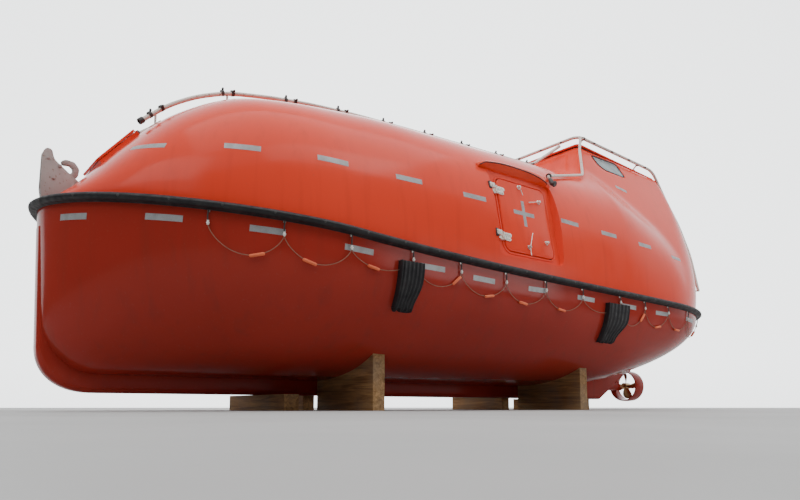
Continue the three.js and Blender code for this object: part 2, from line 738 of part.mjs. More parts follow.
const DOGS = [
  // along the door, up the door, turn of the lever in degrees, its length
  [-23, 350, -45, 95],
  [277, 245, 192, 150],
  [311, -222, 190, 135],
  [22, -315, 72, 150],
  [22, -315, 262, 130],
];
function doorLeaf() {
  let leaf = plate(leafShape, leafInner, DOOR.proud, doorPlace);
  for (const [u, v, turn, length] of DOGS) {
    const place = doorPlace.clone().multiply(new THREE.Matrix4().makeTranslation(u, v, 0));
    const lever = place.clone().multiply(new THREE.Matrix4().makeRotationZ(THREE.MathUtils.degToRad(turn)));
    leaf = union(
      leaf,
      rod(0, 0, 0, DOOR.proud + 26, 15, 12, place),
      block([-12, -8, DOOR.proud + 14], [length, 8, DOOR.proud + 26], lever),
    );
  }
  return leaf;
}
const hingeU = -DOOR.width / 2 - HINGE.outside;
const doorHinges = [HINGE.v, -HINGE.v].map((v) => hinge(
  doorPlace.clone().multiply(new THREE.Matrix4().makeTranslation(hingeU, v, 0)),
  { height: DOOR.proud + 7, strapFrom: DOOR.proud - 1, strap: 190, base: -82, half: 42 },
));
addBothSides('side_door', doorHinges.reduce((sum, h) => sum.add(h.strapSolid), doorLeaf()), 'canopyRed');
addBothSides('door_hinge_upper', doorHinges[0].bracket, 'steel');
addBothSides('door_hinge_lower', doorHinges[1].bracket, 'steel');

// Rubber fender right round the gunwale
const FENDER = { width: 68, height: 78 };
function fenderSolid() {
  const plan = stations(0).map((x) => [x, halfBeamAt(x)]);
  const loop = [...plan, ...plan.slice(1, -1).reverse().map(([x, y]) => [x, -y])];
  const rings = loop.map(([x, y], i) => {
    const before = loop[(i + loop.length - 1) % loop.length];
    const after = loop[(i + 1) % loop.length];
    const out = new THREE.Vector2(y - before[1], before[0] - x).normalize()
      .add(new THREE.Vector2(after[1] - y, x - after[0]).normalize());
    const spread = 2 / out.lengthSq();
    out.multiplyScalar(spread);
    return Array.from({ length: 9 }, (_, k) => {
      const a = -Math.PI / 2 + (k / 8) * Math.PI;
      const n = GAP + FENDER.width * Math.cos(a);
      return [x + out.x * n, y + out.y * n, sheerAt(x) + (FENDER.height / 2) * Math.sin(a)];
    });
  });
  return loft(rings, true);
}
add('fender', fenderSolid(), 'rubber');

// Rubber skids lying on the hull side, two each side
const SKID_THICKNESS = 55;
const SKIDS = [
  // fore edge, aft edge, top, bottom, aft edge at the bottom
  ['skid_fore', 1730, 1470, 1285, 865, 1530],
  ['skid_aft', -1230, -1640, 1205, 770, -1510],
];
const hullClear = union(hullSolid(-GAP), keelBand());
const skidSkin = hullSolid(-SKID_THICKNESS);
for (const [name, fore, aft, top, bottom, heel] of SKIDS) {
  const knee = bottom + (top - bottom) * 0.48;
  const outline = [
    [fore, top], [fore, bottom], [heel, bottom], [heel, bottom + 70], [aft, knee], [aft, top],
  ];
  addBothSides(name, sideProfile(outline, 1300, 1700).intersect(skidSkin).subtract(hullClear), 'rubber');
}

// Timber chocks under the bilges and bearers under the keel
const CHOCK = { thick: 130, inner: 140, outer: 1120, top: 520 };
const CHOCKS = [['chock_fore', 1590], ['chock_aft', -1420]];
for (const [name, x] of CHOCKS) {
  const solid = block([x - CHOCK.thick / 2, CHOCK.inner, 0], [x + CHOCK.thick / 2, CHOCK.outer, CHOCK.top]);
  addBothSides(name, solid.subtract(hullClear), 'timber');
}
const BEARERS = [['bearer_fore', 2200], ['bearer_aft', -2150]];
for (const [name, x] of BEARERS) {
  add(name, block([x - 75, -600, 0], [x + 75, 600, KEEL.bottom - GAP]), 'timber');
}

// Water spray pipes on their feet
const PIPE = { radius: 20, branch: 17, foot: 10 };
const RIDGE = [
  // x, y, height over the crown
  [3560, 340, 95],
  [3330, 340, 95],
  [3080, 340, 95],
  [2800, 360, 100],
  [2400, 420, 102],
  [2000, 480, 90],
  [1500, 500, 82],
  [700, 500, 82],
  [-400, 500, 75],
  [-1300, 500, 75],
];
const RIDGE_FEET = [3440, 2800, 2190, 1620, 1050, 470, -100, -680, -1250];
function ridgePoint(x) {
  const i = Math.max(1, RIDGE.findIndex((row) => row[0] <= x));
  const [[foreX, foreY, foreRise], [aftX, aftY, aftRise]] = [RIDGE[i - 1], RIDGE[i]];
  const u = (foreX - x) / (foreX - aftX);
  return [x, foreY + (aftY - foreY) * u, crownAt(x) + foreRise + (aftRise - foreRise) * u];
}
function ridgePipe() {
  const points = RIDGE.map(([x]) => ridgePoint(x));
  points.push([-1880, 500, 3555]);
  let solid = pipe(points, PIPE.radius, 7, 120);
  for (const x of RIDGE_FEET) {
    const [, y, z] = ridgePoint(x);
    solid = solid.add(rod(x, y, z - 190, z, PIPE.foot, 6));
  }
  return solid.subtract(canopyClear);
}
addBothSides('ridge_pipe', ridgePipe(), 'pipeWhite');

const HOOP = { z: 3600, half: 805, x: -1880, fall: 0.052, side: 42, stand: 80 };
const HOOP_FEET = [-2000, -3250];
// A point off the aft quarter of the tower, at an angle from its side
function quarterPoint(z, stand) {
  const level = towerAt(z);
  const a = THREE.MathUtils.degToRad(HOOP.side);
  const e = 2 / TOWER.power;
  return [
    level.aft + level.run - level.run * Math.sin(a) ** e - stand * Math.sin(a),
    level.half * Math.cos(a) ** e + stand * Math.cos(a),
    z + stand * 0.3,
  ];
}
function strut(from, to, sides = 6) {
  return tube([from, to].map((p) => new THREE.Vector3(...p)), PIPE.foot, sides);
}
function towerHoop(extra = 0) {
  const legs = [1650, 2200, 2700, 3100].map((z) => quarterPoint(z, HOOP.stand));
  const side = [...legs, [-3620, 815, 3510], [HOOP.x, HOOP.half, HOOP.z]];
  const points = [...side, ...side.map(([x, y, z]) => [x, -y, z]).reverse()];
  let solid = pipe(points, PIPE.radius + extra, 7, 100);
  const [low, foot] = [HOOP.stand, -40].map((stand) => quarterPoint(1650, stand));
  for (const s of [1, -1]) {
    for (const x of HOOP_FEET) {
      const fall = HOOP.fall * (x - HOOP.x);
      solid = solid.add(strut([x, s * HOOP.half, HOOP.z + fall], [x - 20, s * 690, TOWER.roofZ + fall]));
    }
    solid = solid.add(strut([low[0], s * low[1], low[2]], [foot[0], s * foot[1], foot[2]]));
  }
  return solid.subtract(canopyClear);
}
const roofClear = roofSolid(GAP);
add('tower_hoop', towerHoop().subtract(roofClear), 'pipeWhite');

// A branch down the front corner of the tower, then forward along the canopy
function branchPipe() {
  const corner = (z, off) => [
    TOWER.frontX + TOWER.rake * (TOWER.roofZ - z) + off,
    TOWER.roofHalf + TOWER.sideSlope * (TOWER.roofZ - z) + off,
    z,
  ];
  const points = [
    [HOOP.x - 40, HOOP.half, HOOP.z - 4],
    [HOOP.x, HOOP.half + 40, HOOP.z - 60],
    corner(3380, 60),
    corner(2915, 60),
    [-560, 1380, 2600],
  ];
  return pipe(points, PIPE.branch, 7, 60)
    .add(strut([-590, 1372, 2612], [-590, 1250, 2545]))
    .subtract(canopyClear)
    .subtract(roofClear);
}
const hoopClear = towerHoop(GAP);
add('branch_pipe_port', branchPipe().subtract(hoopClear), 'pipeWhite');
add('branch_pipe_starboard', mirrored(branchPipe()).subtract(hoopClear), 'pipeWhite');

// Lifting hooks: two cheeks with the hook pinned between them
const CHEEK = { gap: 25, thick: 12 };
const HOOK_PIN = 14;
const HOOK_PLAY = 0.7;
const cheekOutline = [
  [70, -210], [95, -60], [90, 250], [60, 290], [20, 280], [0, 200], [-110, 110], [-230, 20], [-230, -210],
];
const baseOutline = [[70, -210], [95, -60], [-230, -60], [-230, -210]];
const hookOutline = [
  [30, 60], [30, 0], [-30, -20], [-120, 40], [-190, 90], [-200, 160], [-160, 215], [-90, 225], [-50, 200],
  [-70, 170], [-120, 178], [-148, 150], [-140, 112], [-90, 100], [-30, 105],
];
function hookParts(sign, origin, clear) {
  const at = (outline) => outline.map(([x, z]) => [origin[0] + sign * x, origin[1] + z]);
  const wide = CHEEK.gap + CHEEK.thick;
  const stand = union(
    sideProfile(at(cheekOutline), CHEEK.gap, wide),
    sideProfile(at(cheekOutline), -wide, -CHEEK.gap),
    sideProfile(at(baseOutline), -wide, wide),
    crossRod(origin[0], origin[1] + 40, -wide - 8, wide + 8, HOOK_PIN),
  ).subtract(clear);
  const hook = sideProfile(at(hookOutline), -CHEEK.gap + 6, CHEEK.gap - 6)
    .subtract(crossRod(origin[0], origin[1] + 40, -wide, wide, HOOK_PIN + HOOK_PLAY));
  return { stand, hook };
}
const foreHook = hookParts(1, [4155, 1890], union(canopyClear, fenderSolid()));
add('fore_hook_stand', foreHook.stand, 'weathered');
add('fore_hook', foreHook.hook, 'weathered');
const wellFloor = block([-TIP - 200, -400, WELL.floor - 400], [WELL.x, 400, WELL.floor + GAP]);
const aftHook = hookParts(-1, [-3980, WELL.floor + 150], wellFloor);
add('aft_hook_stand', aftHook.stand, 'weathered');
add('aft_hook', aftHook.hook, 'weathered');

// Engine, shaft, propeller and the steering nozzle
const ENGINE = { aft: SHAFT.from, fore: -1500, half: 310, top: 1000 };
add('engine', block([ENGINE.aft, -ENGINE.half, 280], [ENGINE.fore, ENGINE.half, ENGINE.top])
  .intersect(hullSolid(HULL_WALL + GAP, 80, INNER_POINTS)), 'engine');
const shaft = alongX(SHAFT.to + 30, ENGINE.aft - GAP, SHAFT.z, SHAFT.radius, 24);
const hub = alongX(-4075, -3925, SHAFT.z, 48);
const BLADE = [
  // radius, chord, pitch in degrees
  [30, 70, 62],
  [90, 120, 48],
  [150, 130, 36],
  [192, 70, 30],
];
const bladeSection = [[-0.5, 0], [0, 6], [0.5, 0], [0, -6]];
const shaftAxis = new THREE.Vector3(1, 0, 0);
function blade(turn) {
  const rings = BLADE.map(([r, chord, pitch]) => {
    const a = THREE.MathUtils.degToRad(pitch);
    return bladeSection.map(([c, t]) => {
      const along = c * chord;
      const y = along * Math.cos(a) - t * Math.sin(a);
      const x = along * Math.sin(a) + t * Math.cos(a);
      const p = new THREE.Vector3(NOZZLE.x + 10 + x, y, r).applyAxisAngle(shaftAxis, turn);
      return [p.x, p.y, p.z + SHAFT.z];
    });
  });
  return loft(rings);
}
const blades = [0, 1, 2, 3].map((i) => blade((i * Math.PI) / 2));
add('propeller', union(hub, shaft, ...blades), 'bronze');
const nozzleRings = [
  // radius, place along the nozzle
  [NOZZLE.outer - 8, -NOZZLE.half],
  [NOZZLE.outer, NOZZLE.half * 0.3],
  [NOZZLE.outer - 4, NOZZLE.half],
  [NOZZLE.inner + 12, NOZZLE.half],
  [NOZZLE.inner, 0],
  [NOZZLE.inner + 6, -NOZZLE.half],
];
function nozzleSolid() {
  const sides = 32;
  const rings = Array.from({ length: sides }, (_, i) => {
    const a = (2 * Math.PI * i) / sides;
    return nozzleRings.map(([r, x]) => [NOZZLE.x + x, r * Math.sin(a), SHAFT.z + r * Math.cos(a)]);
  });
  const stock = rod(NOZZLE.x, 0, SHAFT.z + NOZZLE.outer - 12, NOZZLE.stockTop, NOZZLE.stock, 24);
  return loft(rings, true).add(stock);
}
add('steering_nozzle', nozzleSolid(), 'hullRed');

// Inside: floor, side benches and the helm seat
const insideHull = hullSolid(HULL_WALL + GAP, 80, INNER_POINTS);
add('floor', block([-1350, -1400, 400], [3300, 1400, 430]).intersect(insideHull), 'liner');
const BENCH = { front: 900, top: 900, board: 40, fore: 3200, aft: -3200 };
const boardUnder = BENCH.top - BENCH.board;
const benchBoard = block([BENCH.aft, BENCH.front, boardUnder], [BENCH.fore, HALF_BEAM, BENCH.top]);
const benchFront = block([-1300, BENCH.front, 430 + GAP], [2600, BENCH.front + BENCH.board, BENCH.top]);
addBothSides('bench', union(benchBoard, benchFront).intersect(insideHull), 'liner');
const SEAT = { x: -2150, y: -230, z: 2400, size: 440 };
const seatAft = SEAT.x - SEAT.size / 2;
const seatSide = SEAT.y - SEAT.size / 2;
add('helm_seat', union(
  block([seatAft, seatSide, SEAT.z], [seatAft + SEAT.size, seatSide + SEAT.size, SEAT.z + 70]),
  block([seatAft, seatSide, SEAT.z + 10], [seatAft + 70, seatSide + SEAT.size, SEAT.z + 560]),
  block([SEAT.x - 60, SEAT.y - 60, ENGINE.top + GAP], [SEAT.x + 60, SEAT.y + 60, SEAT.z + 10]),
), 'liner');

export default lifeboat;
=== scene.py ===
"""Looks of an enclosed lifeboat on its timber chocks. Metres, +X to the bow, +Y to port, +Z up."""

from math import atan, cos, pi, radians, sin

import bmesh
import bpy
import numpy as np
from mathutils import Matrix, Vector


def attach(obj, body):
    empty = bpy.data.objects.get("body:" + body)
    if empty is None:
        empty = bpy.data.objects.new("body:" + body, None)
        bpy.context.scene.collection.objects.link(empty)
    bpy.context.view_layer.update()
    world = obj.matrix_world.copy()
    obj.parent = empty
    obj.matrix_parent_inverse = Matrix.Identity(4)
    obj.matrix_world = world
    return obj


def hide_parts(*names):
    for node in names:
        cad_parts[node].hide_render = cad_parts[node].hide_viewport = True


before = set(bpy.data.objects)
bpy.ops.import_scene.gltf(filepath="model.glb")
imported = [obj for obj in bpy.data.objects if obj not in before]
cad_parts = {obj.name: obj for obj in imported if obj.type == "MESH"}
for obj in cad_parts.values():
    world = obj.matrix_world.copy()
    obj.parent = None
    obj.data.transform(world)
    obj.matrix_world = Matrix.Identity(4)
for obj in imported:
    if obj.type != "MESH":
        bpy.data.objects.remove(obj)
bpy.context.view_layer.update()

# Lines of the boat, the same values as in the solids

TIP = 4.25
HALF_BEAM = 1.6
BOW_RUN, BOW_POWER = 2.026, 1.69
STERN_RUN, STERN_POWER = 1.573, 2.37
SHEER = (1.3715, 0.1036, 0.0948, 0.1115)
BOTTOM_Z, RISE_FROM, STERN_RISE, RISE_POWER = 0.298, -1.8, 0.652, 1.7
FOOT_X, FOOT_Z, FOOT_REACH, FOOT_POWER = 3.75, 0.75, 0.45, 2.0
HULL_WALL, CANOPY_WALL = 0.06, 0.045
CROWN = [
    # x, z
    (4.25, 1.682), (4.1, 1.795), (3.95, 1.942), (3.75, 2.18), (3.45, 2.495), (3.2, 2.678),
    (2.95, 2.805), (2.7, 2.868), (2.2, 2.92), (1.5, 2.978), (0.0, 3.038), (-1.5, 3.085),
    (-1.95, 3.06), (-2.6, 2.75), (-3.3, 2.3), (-3.9, 1.75), (-4.25, 1.252),
]
# Powers of the sections amidships, at the bow and at the stern, and how far amidships reaches
HULL_POWERS, CANOPY_POWERS = (2.5, 2.1, 2.15), (2.8, 2.2, 2.8)
MIDDLE_FORE, MIDDLE_AFT = 1.5, 2.2
TOWER_FRONT, TOWER_RAKE, ROOF_Z, ROOF_HALF, ROOF_FALL = -1.95, 0.55, 3.5, 0.75, 0.061
SIDE_SLOPE, SIDE_FAIR, FAIR_POWER, TOWER_BASE = 0.485, 0.193, 5.4, 1.35
AFT_LEAN, AFT_POWER, BASE_RUN, ROOF_RUN, TOWER_POWER = 0.468, 4.15, 1.625, 0.107, 2.42
# Slant of the tower's side and front, which scales their distances, and the blends between faces
SIDE_SLANT, FRONT_SLANT = 0.9, 0.876
FRONT_BLEND, ROOF_BLEND, CANOPY_BLEND = 0.07, 0.02, 0.16
SHAFT_Z, NOZZLE_X = 0.36, -4.01


def spline(points, steps):
    """Points along a smooth curve through all the given ones."""
    p = np.array(points, float)
    out = []
    for i in range(len(p) - 1):
        before, a, b, after = p[max(i - 1, 0)], p[i], p[i + 1], p[min(i + 2, len(p) - 1)]
        u, v = (b - before) / 2, (after - a) / 2
        for t in np.arange(steps) / steps:
            out.append(((2 * a - 2 * b + u + v) * t - 3 * a + 3 * b - 2 * u - v) * t * t + u * t + a)
    return np.array(out + [p[-1]])


crown_line = spline(CROWN, 10)[::-1]


def crown(x):
    return np.interp(x, crown_line[:, 0], crown_line[:, 1])


def superellipse(u, power):
    return np.maximum(0, 1 - u**power) ** (1 / power)


def half_beam(x, inset=0.0):
    run = np.where(x > 0, BOW_RUN, STERN_RUN)
    power = np.where(x > 0, BOW_POWER, STERN_POWER)
    u = np.clip((np.abs(x) - (TIP - inset - run)) / run, 0, 1)
    return (HALF_BEAM - inset) * superellipse(u, power)


def sheer(x):
    u = x / TIP
    return SHEER[0] + SHEER[1] * u + SHEER[2] * u**2 + SHEER[3] * u**3


def bottom(x, inset=0.0):
    stem = FOOT_X + FOOT_REACH - inset
    up = FOOT_Z + inset + (sheer(TIP) - FOOT_Z) * np.clip((x - stem) / (TIP - inset - stem), 0, 1)
    u = np.clip((x - FOOT_X) / (stem - FOOT_X), 0, 1)
    foot = FOOT_Z + inset - (FOOT_Z - BOTTOM_Z) * superellipse(u, FOOT_POWER)
    w = np.maximum(0, (RISE_FROM - x) / (TIP + RISE_FROM))
    run = BOTTOM_Z + inset + STERN_RISE * w**RISE_POWER
    return np.where(x >= stem, up, np.where(x > FOOT_X, foot, run))


def section_power(x, powers):
    middle, bow, stern = powers
    fore = np.clip((x - MIDDLE_FORE) / (TIP - MIDDLE_FORE), 0, 1)
    aft = np.clip((-x - MIDDLE_AFT) / (TIP - MIDDLE_AFT), 0, 1)
    return middle + np.where(x > 0, (bow - middle) * fore, (stern - middle) * aft)


def hull_y(x, z):
    """Half width of the hull at one height."""
    power = section_power(x, HULL_POWERS)
    top = sheer(x)
    w = np.clip((top - z) / np.maximum(top - bottom(x), 1e-6), 0, 1)
    return half_beam(x) * superellipse(w, power)


def soft_min(a, b, k):
    h = np.clip(0.5 + 0.5 * (b - a) / k, 0, 1)
    return b + (a - b) * h - k * h * (1 - h)


def soft_max(a, b, k):
    return -soft_min(-a, -b, k)


def tower_level(z):
    """The tower at one height: half width, aft end and the length of its rounded run."""
    below = ROOF_Z - z
    height = ROOF_Z - TOWER_BASE
    t = np.clip(1 - below / height, 0, 1)
    half = ROOF_HALF + SIDE_SLOPE * below - SIDE_FAIR * (np.maximum(below, 0) / height) ** FAIR_POWER
    return half, -TIP + 0.001 + AFT_LEAN * t**AFT_POWER, BASE_RUN + (ROOF_RUN - BASE_RUN) * t


def outside(x, y, z):
    """How far a point lies outside the canopy and its tower, roughly in metres."""
    base = sheer(x)
    high = np.maximum(z - base, 0)
    power = section_power(x, CANOPY_POWERS)
    wide = np.abs(y) / np.maximum(half_beam(x), 1e-4)
    tall = high / np.maximum(crown(x) - base, 1e-4)
    size = (wide**power + tall**power) ** (1 / power)
    reach = np.hypot(y, high)
    canopy = reach - reach / np.maximum(size, 1e-6)
    half, aft, run = tower_level(z)
    bend = aft + run
    back = (np.maximum(bend - x, 0) / run) ** TOWER_POWER + (np.abs(y) / half) ** TOWER_POWER
    side = np.where(x < bend, (back ** (1 / TOWER_POWER) - 1) * half, np.abs(y) - half) * SIDE_SLANT
    front = (x - TOWER_FRONT - TOWER_RAKE * (ROOF_Z - z)) * FRONT_SLANT
    roof = z - ROOF_Z - ROOF_FALL * (x - TOWER_FRONT)
    tower = soft_max(soft_max(side, front, FRONT_BLEND), roof, ROOF_BLEND)
    return soft_min(canopy, tower, CANOPY_BLEND * np.clip((z - 1.7) / 0.7, 0, 1) + 1e-3)


def furthest(inside, low, high):
    """The largest values for which inside still holds, by halving."""
    for _ in range(34):
        middle = (low + high) / 2
        within = inside(middle)
        low, high = np.where(within, middle, low), np.where(within, high, middle)
    return low


def canopy_y(x, z):
    """Half width of the canopy or its tower at one height."""
    return furthest(lambda y: outside(x, y, z) < 0, np.zeros(x.shape), np.full(x.shape, 2.0))


def canopy_z(x, y):
    """Height of the canopy over one place."""
    return float(furthest(lambda z: outside(x, y, z) < 0, sheer(x), crown(x) + 0.4))


# Mesh tools


def mm(*rows):
    """A table that is written in millimetres."""
    return np.array(rows) / 1000


def link(data, name="part"):
    obj = bpy.data.objects.new(name, data)
    bpy.context.scene.collection.objects.link(obj)
    return obj


def solid(bm):
    """An object of a bmesh, which is used up."""
    mesh = bpy.data.meshes.new("part")
    bm.to_mesh(mesh)
    bm.free()
    return link(mesh)


def skin(rings, closed=False, around=True):
    """A surface through rings of points, its ends capped unless it closes on itself."""
    rings = np.array(rings, float)
    n, m = rings.shape[:2]
    faces = []
    for i in range(n if closed else n - 1):
        k = (i + 1) % n
        for j in range(m if around else m - 1):
            q = (j + 1) % m
            faces.append((i * m + j, i * m + q, k * m + q, k * m + j))
    if around and not closed:
        faces += [tuple(range(m)), tuple(range((n - 1) * m, n * m))]
    mesh = bpy.data.meshes.new("part")
    mesh.from_pydata(rings.reshape(-1, 3).tolist(), [], faces)
    bm = bmesh.new()
    bm.from_mesh(mesh)
    bpy.data.meshes.remove(mesh)
    bmesh.ops.remove_doubles(bm, verts=bm.verts, dist=2e-5)
    bmesh.ops.dissolve_degenerate(bm, dist=1e-6, edges=bm.edges)
    bmesh.ops.recalc_face_normals(bm, faces=bm.faces)
    return solid(bm)


def joined(*parts):
    """One object of several, which are used up."""
    bm = bmesh.new()
    for obj in parts:
        bm.from_mesh(obj.data)
        bpy.data.objects.remove(obj)
    return solid(bm)


def boolean(obj, *others, operation="DIFFERENCE"):
    """Cuts the others out of obj, or unites them with it, one after another."""
    for other in others:
        modifier = obj.modifiers.new("join", "BOOLEAN")
        modifier.operation, modifier.object, modifier.solver = operation, other, "MANIFOLD"
        graph = bpy.context.evaluated_depsgraph_get()
        mesh = bpy.data.meshes.new_from_object(obj.evaluated_get(graph))
        obj.modifiers.clear()
        obj.data = mesh
        bpy.data.objects.remove(other)


def mirrored(obj):
    """The same part on the starboard side."""
    mesh = obj.data.copy()
    mesh.transform(Matrix.Diagonal((1, -1, 1, 1)))
    mesh.flip_normals()
    return link(mesh)


def box(low, high, matrix=None, bevel=0.0):
    low, high = Vector(low), Vector(high)
    bm = bmesh.new()
    place = Matrix.Translation((low + high) / 2) @ Matrix.Diagonal((*(high - low), 1))
    bmesh.ops.create_cube(bm, size=1, matrix=place)
    if bevel:
        bmesh.ops.bevel(bm, geom=bm.edges[:], offset=bevel, segments=3, profile=0.5,
                        affect="EDGES", clamp_overlap=True)
    if matrix:
        bm.transform(matrix)
    return solid(bm)


def stacked(layers, matrix, closed=False):
    """A surface through flat outlines, each at its own height."""
    return skin([[matrix @ Vector((*p, z)) for p in outline] for outline, z in layers], closed)


def lathe(profile, matrix, sides=32, closed=False):
    """A profile of (radius, height) pairs turned about the local z axis."""
    a = np.linspace(0, 2 * pi, sides, endpoint=False)
    circle = np.stack([np.cos(a), np.sin(a)], 1)
    return stacked([(circle * r, h) for r, h in profile], matrix, closed)


def rod(radius, low, high, matrix, sides=32):
    return lathe([(radius, low), (radius, high)], matrix, sides)


def rounded(width, height, corner, steps):
    """Outline of a rounded rectangle, anticlockwise."""
    points = []
    for turn, (sx, sy) in enumerate(((1, 1), (-1, 1), (-1, -1), (1, -1))):
        cx, cy = sx * (width / 2 - corner), sy * (height / 2 - corner)
        for a in (np.linspace(0, 1, steps + 1) + turn) * pi / 2:
            points.append((cx + corner * cos(a), cy + corner * sin(a)))
    return points


def plate(width, height, corner, layers, matrix, steps=8, closed=False):
    """A rounded rectangle built up in layers of (inset, height)."""
    return stacked([
        (rounded(width - 2 * inset, height - 2 * inset, max(corner - inset, 0.002), steps), z)
        for inset, z in layers
    ], matrix, closed)


def soft_edge(z0, z1, r):
    """Layers of a plate from z0 to z1 with its edges rounded by r."""
    turns = [(1 - sin(a), 1 - cos(a)) for a in (0, 0.5, 1.05, pi / 2)]
    return [(r * u, z0 + r * v) for u, v in turns] + [(r * v, z1 - r * u) for u, v in turns]


def eased(points, radius, samples=7, closed=False):
    """A line or an outline with its corners rounded."""
    p = np.array(points, float)
    last = len(p) - 1
    out = []
    for i, here in enumerate(p):
        if i in (0, last) and not closed:
            out.append(here)
            continue
        before, after = p[i - 1] - here, p[(i + 1) % len(p)] - here
        near, far = np.linalg.norm(before), np.linalg.norm(after)
        room = min(radius, near * 0.45, far * 0.45)
        a, b = here + before / near * room, here + after / far * room
        for t in np.linspace(0, 1, samples):
            out.append((1 - t) ** 2 * a + 2 * t * (1 - t) * here + t * t * b)
    return np.array(out)


def outward(outline):
    """Unit normals of a closed outline."""
    ahead = np.roll(outline, -1, 0)
    along = ahead - np.roll(outline, 1, 0)
    along /= np.linalg.norm(along, axis=1, keepdims=True)
    area = np.sum(outline[:, 0] * ahead[:, 1] - ahead[:, 0] * outline[:, 1])
    return np.stack([along[:, 1], -along[:, 0]], 1) * np.sign(area)


def pushed(outline, normals, turn, y0, y1):
    """An outline of (x, z) pushed across from y0 to y1, each edge following a turn of (inset, y)."""
    layers = [(inset, y0 + y) for inset, y in turn] + [(inset, y1 - y) for inset, y in reversed(turn)]
    return skin([[(x, y, z) for x, z in outline - normals * inset] for inset, y in layers])


def tube(points, radius, sides, closed=False):
    """A round tube along points."""
    p = [Vector(q) for q in points]
    n = len(p)
    rings, side = [], None
    for i in range(n):
        ahead = p[(i + 1) % n] if closed else p[min(i + 1, n - 1)]
        behind = p[i - 1] if closed or i else p[0]
        along = (ahead - behind).normalized()
        if side is None:
            side = Vector((0, 0, 1)) if abs(along.z) < 0.9 else Vector((1, 0, 0))
        side = (side - along * side.dot(along)).normalized()
        other = along.cross(side)
        rings.append([
            p[i] + radius * (side * cos(a) + other * sin(a))
            for a in np.linspace(0, 2 * pi, sides, endpoint=False)
        ])
    return skin(rings, closed)


def frame_at(origin, along, out):
    """Local frame on a surface: x along it, z out of it."""
    z = Vector(out).normalized()
    x = (Vector(along) - z * Vector(along).dot(z)).normalized()
    y = z.cross(x)
    return Matrix.Translation(Vector(origin)) @ Matrix((x, y, z)).transposed().to_4x4()


def facing(at, out):
    """Local frame with only its z axis given."""
    return Matrix.Translation(Vector(at)) @ Vector(out).to_track_quat("Z", "Y").to_matrix().to_4x4()


def moved(matrix, x, y=0.0, z=0.0):
    return matrix @ Matrix.Translation((x, y, z))


def dress(name, material, slot, *parts, body="boat", replaces=(), angle=32):
    """Makes one piece of its parts and gives it its finish, its shading and its body."""
    obj = joined(*parts)
    obj.name = name
    mesh = obj.data
    mesh.materials.append(material)
    mesh.polygons.foreach_set("use_smooth", [True] * len(mesh.polygons))
    mesh.set_sharp_from_angle(angle=radians(angle))
    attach(obj, body)
    if replaces:
        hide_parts(*replaces)


def pair(name, material, slot, *parts, body=None, replaces=(), angle=32):
    """A piece to port and its mirror image to starboard; body and nodes are named without side."""
    port = joined(*parts)
    for side, obj in (("port", port), ("starboard", mirrored(port))):
        dress(f"{name}_{side}", material, slot, obj, body=f"{body}_{side}" if body else "boat",
              replaces=[f"{node}_{side}" for node in replaces], angle=angle)


# Materials


class Nodes:
    """Short calls for the nodes of a material or of the world."""

    def __init__(self, tree):
        self.tree = tree
        self.where = self.node("TexCoord").outputs

    def node(self, kind, inputs=(), **settings):
        made = self.tree.nodes.new(f"ShaderNode{kind}")
        for key, value in settings.items():
            setattr(made, key, value)
        for key, value in dict(inputs).items():
            self.put(made.inputs[key], value)
        return made

    def put(self, socket, value):
        """Links or sets an input; None leaves it as it is."""
        if isinstance(value, bpy.types.NodeSocket):
            self.tree.links.new(value, socket)
        elif value is not None:
            socket.default_value = (*value, 1) if socket.type == "RGBA" else value

    def math(self, operation, *values):
        return self.node("Math", enumerate(values), operation=operation).outputs[0]

    def mix(self, share, a, b):
        inputs = {"Factor": share, "A": a, "B": b}
        return self.node("Mix", inputs, data_type="RGBA").outputs["Result"]

    def spread(self, value, low, high, to_low=0.0, to_high=1.0):
        return self.node("MapRange", {
            "Value": value, "From Min": low, "From Max": high, "To Min": to_low, "To Max": to_high,
        }, clamp=True).outputs["Result"]


class Paint(Nodes):
    """A material under construction."""

    def __init__(self, name):
        self.material = bpy.data.materials.new(name)
        self.material.use_nodes = True
        super().__init__(self.material.node_tree)

    def noise(self, scale, detail=3.0, stretch=(1, 1, 1), distortion=0.0, rough=0.5):
        place = self.node("Mapping", {"Vector": self.where["Object"], "Scale": stretch})
        return self.node("TexNoise", {
            "Vector": place.outputs[0], "Scale": scale, "Detail": detail, "Distortion": distortion,
            "Roughness": rough,
        }).outputs["Fac"]

    def stain(self, base, colour, value, low, high, amount=1.0):
        """The base with a colour over it where value goes from low to high."""
        return self.mix(self.math("MULTIPLY", self.spread(value, low, high), amount), base, colour)

    def bump(self, height, strength, distance, below=None):
        inputs = {"Height": height, "Strength": strength, "Distance": distance, "Normal": below}
        return self.node("Bump", inputs).outputs[0]

    def done(self, base, rough, normal=None, **more):
        sockets = {"Base_Color": base, "Roughness": rough, "Normal": normal, **more}
        for key, value in sockets.items():
            self.put(self.tree.nodes["Principled BSDF"].inputs[key.replace("_", " ")], value)
        return self.material


def laminate(name, colour, deep, sky_lit_tint, sky_lit_share=0.35, dirt=0.1):
    """Glossy pigmented glass-fibre laminate with a painted sky highlight on its upward faces, run marks,
    specks and orange peel.
    """
    p = Paint(name)
    base = p.stain(colour, deep, p.noise(0.55, 3), 0.3, 0.7)
    # Painted highlight: faces that look up are tinted paler and pinker, as if lit by the sky
    up = p.node("SeparateXYZ", {"Vector": p.where["Normal"]}).outputs["Z"]
    base = p.stain(base, sky_lit_tint, up, 0.1, 1.0, sky_lit_share)
    base = p.stain(base, (0.1, 0.035, 0.025), p.noise(1.0, 5, (11, 11, 0.55), 0.3), 0.52, 0.78, dirt)
    base = p.stain(base, (0.32, 0.16, 0.11), p.noise(46, 4), 0.62, 0.74, 0.1)
    rough = p.spread(p.noise(5, 4), 0.3, 0.7, 0.11, 0.2)
    peel = p.bump(p.noise(240, 2), 0.05, 0.0006, p.bump(p.noise(1.7, 2), 0.1, 0.02))
    return p.done(base, rough, peel, Specular_IOR_Level=0.15)


